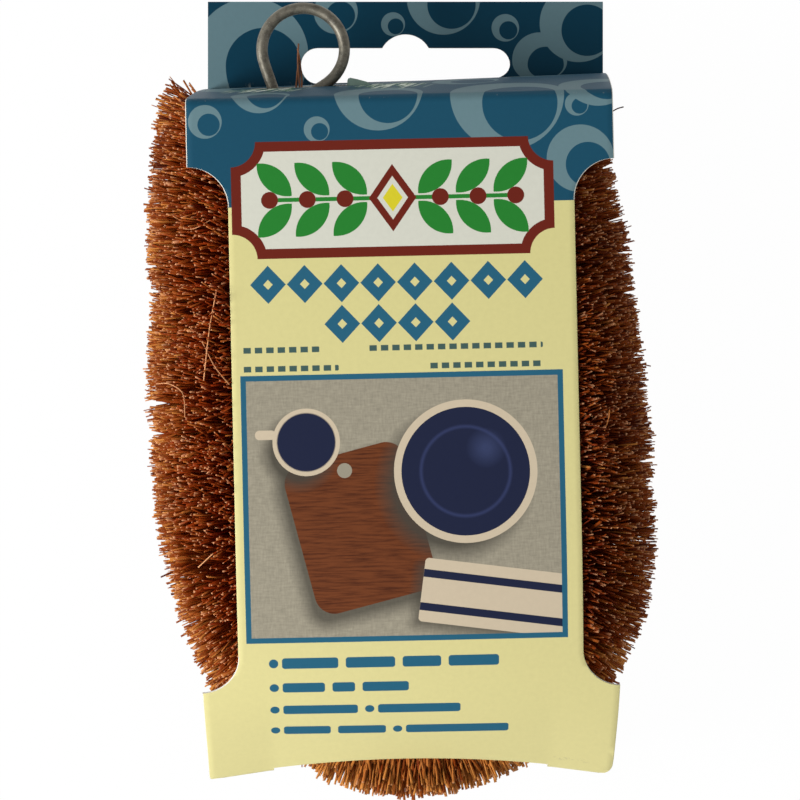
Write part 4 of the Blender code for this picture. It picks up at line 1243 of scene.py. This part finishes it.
def fibre_paths(start, end, offset, chance):
    """The paths of a bundle's fibres, cut to length round the stem and bent by the card, with their tones and
    how far each stands towards the front or the back."""
    count = round((end - start) * FIBRES_PER_METRE)
    number = np.arange(count)
    distance = start + (end - start) * (number + chance.uniform(0, 1, count)) / count
    angle = (number + offset) * GOLDEN_ANGLE + chance.normal(0, ANGLE_SPREAD, count)
    tilt = clumps(0, distance, angle, CLUMP_LEAN)
    swing = clumps(1, distance, angle, CLUMP_LEAN)
    unruly = np.where(chance.uniform(0, 1, count) < UNRULY_SHARE, UNRULY_TIMES, 1)
    unruly = unruly + PRESSED_TIMES * np.sin(angle) ** 2
    tilt += chance.normal(0, LEAN_SPREAD, count) * unruly
    swing += chance.normal(0, LEAN_SPREAD, count) * unruly
    place, way, side = stem(distance)
    on_left = distance < STEM_LENGTH / 2
    to_top = np.where(on_left, distance - NECK_LENGTH, STEM_LENGTH - distance)
    fan = TOP_FAN * np.clip(1 - to_top / TOP_FAN_LENGTH, 0, 1)
    lean = tilt + np.where(on_left, -fan, fan)
    bend_on, bend_across, wave_on, wave_across = (
        chance.normal(0, amount, (count, 1)) for amount in (TIP_BEND, TIP_BEND, FIBRE_WAVE, FIBRE_WAVE)
    )
    lean += parting(distance + FIBRE_REACH * np.sin(tilt) + bend_on[:, 0], angle) / FIBRE_REACH
    turn = (angle + swing)[:, None]
    out = np.cos(turn) * side + np.sin(turn) * np.array((0, 0, 1))
    direction = np.cos(lean)[:, None] * out + np.sin(lean)[:, None] * way
    reach = strand_reach(distance) + clumps(2, distance, angle, CLUMP_REACH)
    reach += chance.normal(0, REACH_SPREAD, count)
    reach -= np.where(chance.uniform(0, 1, count) < SHORT_SHARE, chance.uniform(0, SHORT_BY, count), 0)
    across = np.cross(direction, way)
    bend = bend_on * way + bend_across * across
    wave = wave_on * way + wave_across * across
    t = FIBRE_STOPS[None, :, None]
    span = (reach - FIBRE_ROOT_RADIUS)[:, None, None]
    paths = place[:, None] + direction[:, None] * (FIBRE_ROOT_RADIUS + span * t)
    paths += bend[:, None] * t**2 + wave[:, None] * np.sin(2 * math.pi * t) * t
    margin = chance.uniform(*CARD_MARGINS, count)[:, None]
    # Fibres that point aside are painted paler: painted light on the outer fibres
    tone = clumps(3, distance, angle, CLUMP_TONE) + ASIDE_PAINTED_LIGHT * np.cos(angle) ** 2
    return settle_fibres(paths, margin), tone, np.sin(angle) ** 2


def make_fibres(material):
    """All bundles of fibre, each in place of one of the frame's."""
    chance = np.random.default_rng(FIBRE_SEED)
    start, offset = NECK_LENGTH, 0
    for side, run, bundles in (
        ("left", LEG_LENGTH, BUNDLES_PER_LEG),
        ("bend", BEND_LENGTH, BUNDLES_IN_BEND),
        ("right", LEG_LENGTH, BUNDLES_PER_LEG),
    ):
        for number in range(1, bundles + 1):
            name, end = f"{side}_{number}", start + run / bundles
            paths, tone, inward = fibre_paths(start, end, offset, chance)
            count = len(paths)
            # The tone its place adds: painted light at the round bottom, painted shade on the right
            place_tone_and_light = np.interp(start / STEM_LENGTH, *zip(*TONE))
            matted = max(0, place_tone_and_light)
            coarse = FIBRE_THICKNESS * (1 + COARSER_BELOW * matted)
            thickness = coarse * chance.lognormal(0, THICKNESS_SPREAD, count)[:, None] * FIBRE_TAPER[None]
            spread = chance.uniform(-TONE_SPREAD, TONE_SPREAD, count) * (1 - EVENER_BELOW * matted)
            tone += MIDDLE_TONE + spread + place_tone_and_light
            if start > SHADED_FROM:
                tone -= SHADED_TONE * inward
                inward = inward * SHADED_RED
            colours = np.empty((count, len(FIBRE_STOPS), 3))
            colours[..., 0] = tone[:, None]
            colours[..., 1] = FIBRE_STOPS[None]
            # How much painted red glow each fibre takes
            colours[..., 2] = (inward * chance.uniform(*PAINTED_GLOW_SHARES, count))[:, None]
            spin = chance.uniform(0, SPIN_RANGE, count)
            mesh = tubes_mesh(f"fibres_{name}", paths, thickness, spin, colours)
            add_object(mesh.name, mesh, (material,), (f"coir_{name}",))
            start = end
            offset += count


# Loose fibres that the photograph shows, as points in millimetres
STRAY_POINTS = 12
STRAYS = {
    "stray_fibres_left": (
        ((-37.5, 20.2, 45.6), (-38.4, 15.3, 46.4), (-39.1, 10.8, 46.2), (-40.1, 2.2, 45.2)),
        ((-40.5, 10.2, 45.0), (-37.8, 5.0, 46.3), (-34.9, 1.4, 46.4)),
        (
            (-50.6, 1.6, 35.0), (-48.0, 1.7, 39.6), (-45.4, 0.6, 42.6), (-44.2, -1.2, 43.8),
            (-44.0, -5.2, 44.0),
        ),
        ((-41.2, -35.5, 45.2), (-39.6, -34.0, 46.2), (-38.1, -32.6, 46.8)),
        ((-38.8, 34.6, 45.0), (-42.4, 33.0, 42.6), (-45.6, 33.4, 39.0)),
    ),
    "stray_fibres_right": (
        ((41.9, -3.6, 44.2), (41.6, -5.6, 44.6), (40.8, -8.0, 44.0)),
    ),
    "dark_fibre_ends": (
        ((-41.4, 59.0, 33.0), (-43.0, 60.4, 35.0), (-44.8, 61.0, 36.6)),
        ((42.2, 57.0, 36.0), (43.8, 57.8, 38.0), (45.0, 58.0, 40.0)),
    ),
    "ring_sprig": (
        ((-21.5, 61.6, 23.2), (-21.7, 66.0, 24.4), (-21.9, 69.6, 25.0), (-21.8, 73.0, 24.2)),
        ((-21.2, 61.4, 22.6), (-21.1, 65.6, 23.4), (-21.5, 69.4, 24.6), (-21.9, 71.8, 24.8)),
        ((-22.6, 61.6, 22.9), (-22.2, 65.2, 23.8), (-21.9, 68.2, 24.6), (-21.9, 70.8, 24.6)),
    ),
}
# How much painted red glow the loose fibres take
STRAY_PAINTED_GLOW = 0.15
# Their tone, how far along a fibre their look is taken from, and their thickness
STRAY_LOOKS = {
    "stray_fibres_left": (WORN_TONE, 1.0, 0.00030),
    "stray_fibres_right": (WORN_TONE, 0.95, 0.00030),
    "dark_fibre_ends": (0.05, 0.95, 0.00030),
    # The ring sprig is painted dark: painted shade
    "ring_sprig": (0.05, 0.991, 0.00044),
}


def smooth_path(points, count):
    """Points at even steps along a smooth curve through a few given points."""
    given = np.array(points)
    padded = np.concatenate([[2 * given[0] - given[1]], given, [2 * given[-1] - given[-2]]])
    at = np.linspace(0, len(given) - 1 - 1e-9, count)
    index = at.astype(int)
    t = (at - index)[:, None]
    before, here, after, beyond = (padded[index + step] for step in range(4))
    cubed = 3 * (here - after) + beyond - before
    squared = 2 * before - 5 * here + 4 * after - beyond
    return here + ((after - before) * t + (cubed * t**3 + squared * t**2)) / 2


def make_strays(material):
    """The loose fibres, each group as a piece."""
    chance = np.random.default_rng(STRAY_SEED)
    for name, routes in STRAYS.items():
        paths = np.stack([smooth_path(route, STRAY_POINTS) for route in routes]) / MM
        count = len(paths)
        tone, along, width = STRAY_LOOKS[name]
        colours = np.tile((tone, along, STRAY_PAINTED_GLOW), (count, STRAY_POINTS, 1))
        thickness = np.full((count, STRAY_POINTS), width)
        mesh = tubes_mesh(name, paths, thickness, chance.uniform(0, SPIN_RANGE, count), colours)
        add_object(name, mesh, (material,))


# Stage, light and camera

CAMERA_PLACE = (-0.0005, -0.0017, 0.5936)
CAMERA_LENS = 122.3
FLOOR_HALF, FLOOR_DROP = 3.0, 0.0002
FLOOR_WHITE, FLOOR_GLOW = 0.93, 0.985
WORLD_STRENGTH = 0.33
LIGHT_TARGET = Vector((0, 0, 0.02))
# Each light's place, size and power
LIGHTS = {
    "key": ((-0.76, -0.20, 0.56), 0.46, 10.6),
    "fill": ((-0.1, -0.3, 1.0), 0.6, 0.2),
    "low_right": ((0.62, -0.08, 0.18), 0.5, 0.8),
}


def make_floor():
    """A floor that takes shadows as light sees it, and is white as the camera and reflections see it."""
    mesh = bpy.data.meshes.new("floor")
    corners = [(x * FLOOR_HALF, y * FLOOR_HALF, 0) for x, y in ((-1, -1), (1, -1), (1, 1), (-1, 1))]
    mesh.from_pydata(corners, [], [(0, 1, 2, 3)])
    floor = linked("floor", mesh)
    floor.location.z = -FLOOR_DROP
    material = bpy.data.materials.new("floor_white")
    material.use_nodes = True
    tree = material.node_tree
    tree.nodes.clear()
    output, mix, diffuse, glow, path = (
        tree.nodes.new(f"ShaderNode{kind}")
        for kind in ("OutputMaterial", "MixShader", "BsdfDiffuse", "Emission", "LightPath")
    )
    diffuse.inputs["Color"].default_value = (FLOOR_WHITE, FLOOR_WHITE, FLOOR_WHITE, 1)
    glow.inputs["Color"].default_value = (1, 1, 1, 1)
    glow.inputs["Strength"].default_value = 1.0
    seen = Ink(tree, path.outputs["Is Camera Ray"]) + Ink(tree, path.outputs["Is Glossy Ray"])
    tree.links.new((seen.least(1) * FLOOR_GLOW).socket, mix.inputs["Fac"])
    tree.links.new(diffuse.outputs[0], mix.inputs[1])
    tree.links.new(glow.outputs[0], mix.inputs[2])
    tree.links.new(mix.outputs[0], output.inputs["Surface"])
    mesh.materials.append(material)


def make_light():
    """A white studio with a key light at the left."""
    world = bpy.data.worlds.new("studio")
    world.use_nodes = True
    background = world.node_tree.nodes["Background"]
    background.inputs["Color"].default_value = (1, 1, 1, 1)
    background.inputs["Strength"].default_value = WORLD_STRENGTH
    bpy.context.scene.world = world
    for name, (place, size, power) in LIGHTS.items():
        light = bpy.data.lights.new(name, "AREA")
        light.shape = "DISK"
        light.size = size
        light.energy = power
        obj = linked(name, light)
        obj.location = place
        obj.rotation_euler = (LIGHT_TARGET - Vector(place)).to_track_quat("-Z", "Y").to_euler()


def make_camera():
    """The camera straight above the brush."""
    camera = bpy.data.cameras.new("camera")
    camera.sensor_width = 36
    camera.lens = CAMERA_LENS
    camera.clip_start = 0.01
    obj = linked("camera", camera)
    obj.location = CAMERA_PLACE
    bpy.context.scene.camera = obj


def main():
    bpy.context.scene.view_settings.view_transform = "Standard"
    make_card()
    make_slot_lip()
    make_wire()
    coir = coir_material()
    make_fibres(coir)
    make_strays(coir)
    make_floor()
    make_light()
    make_camera()


main()
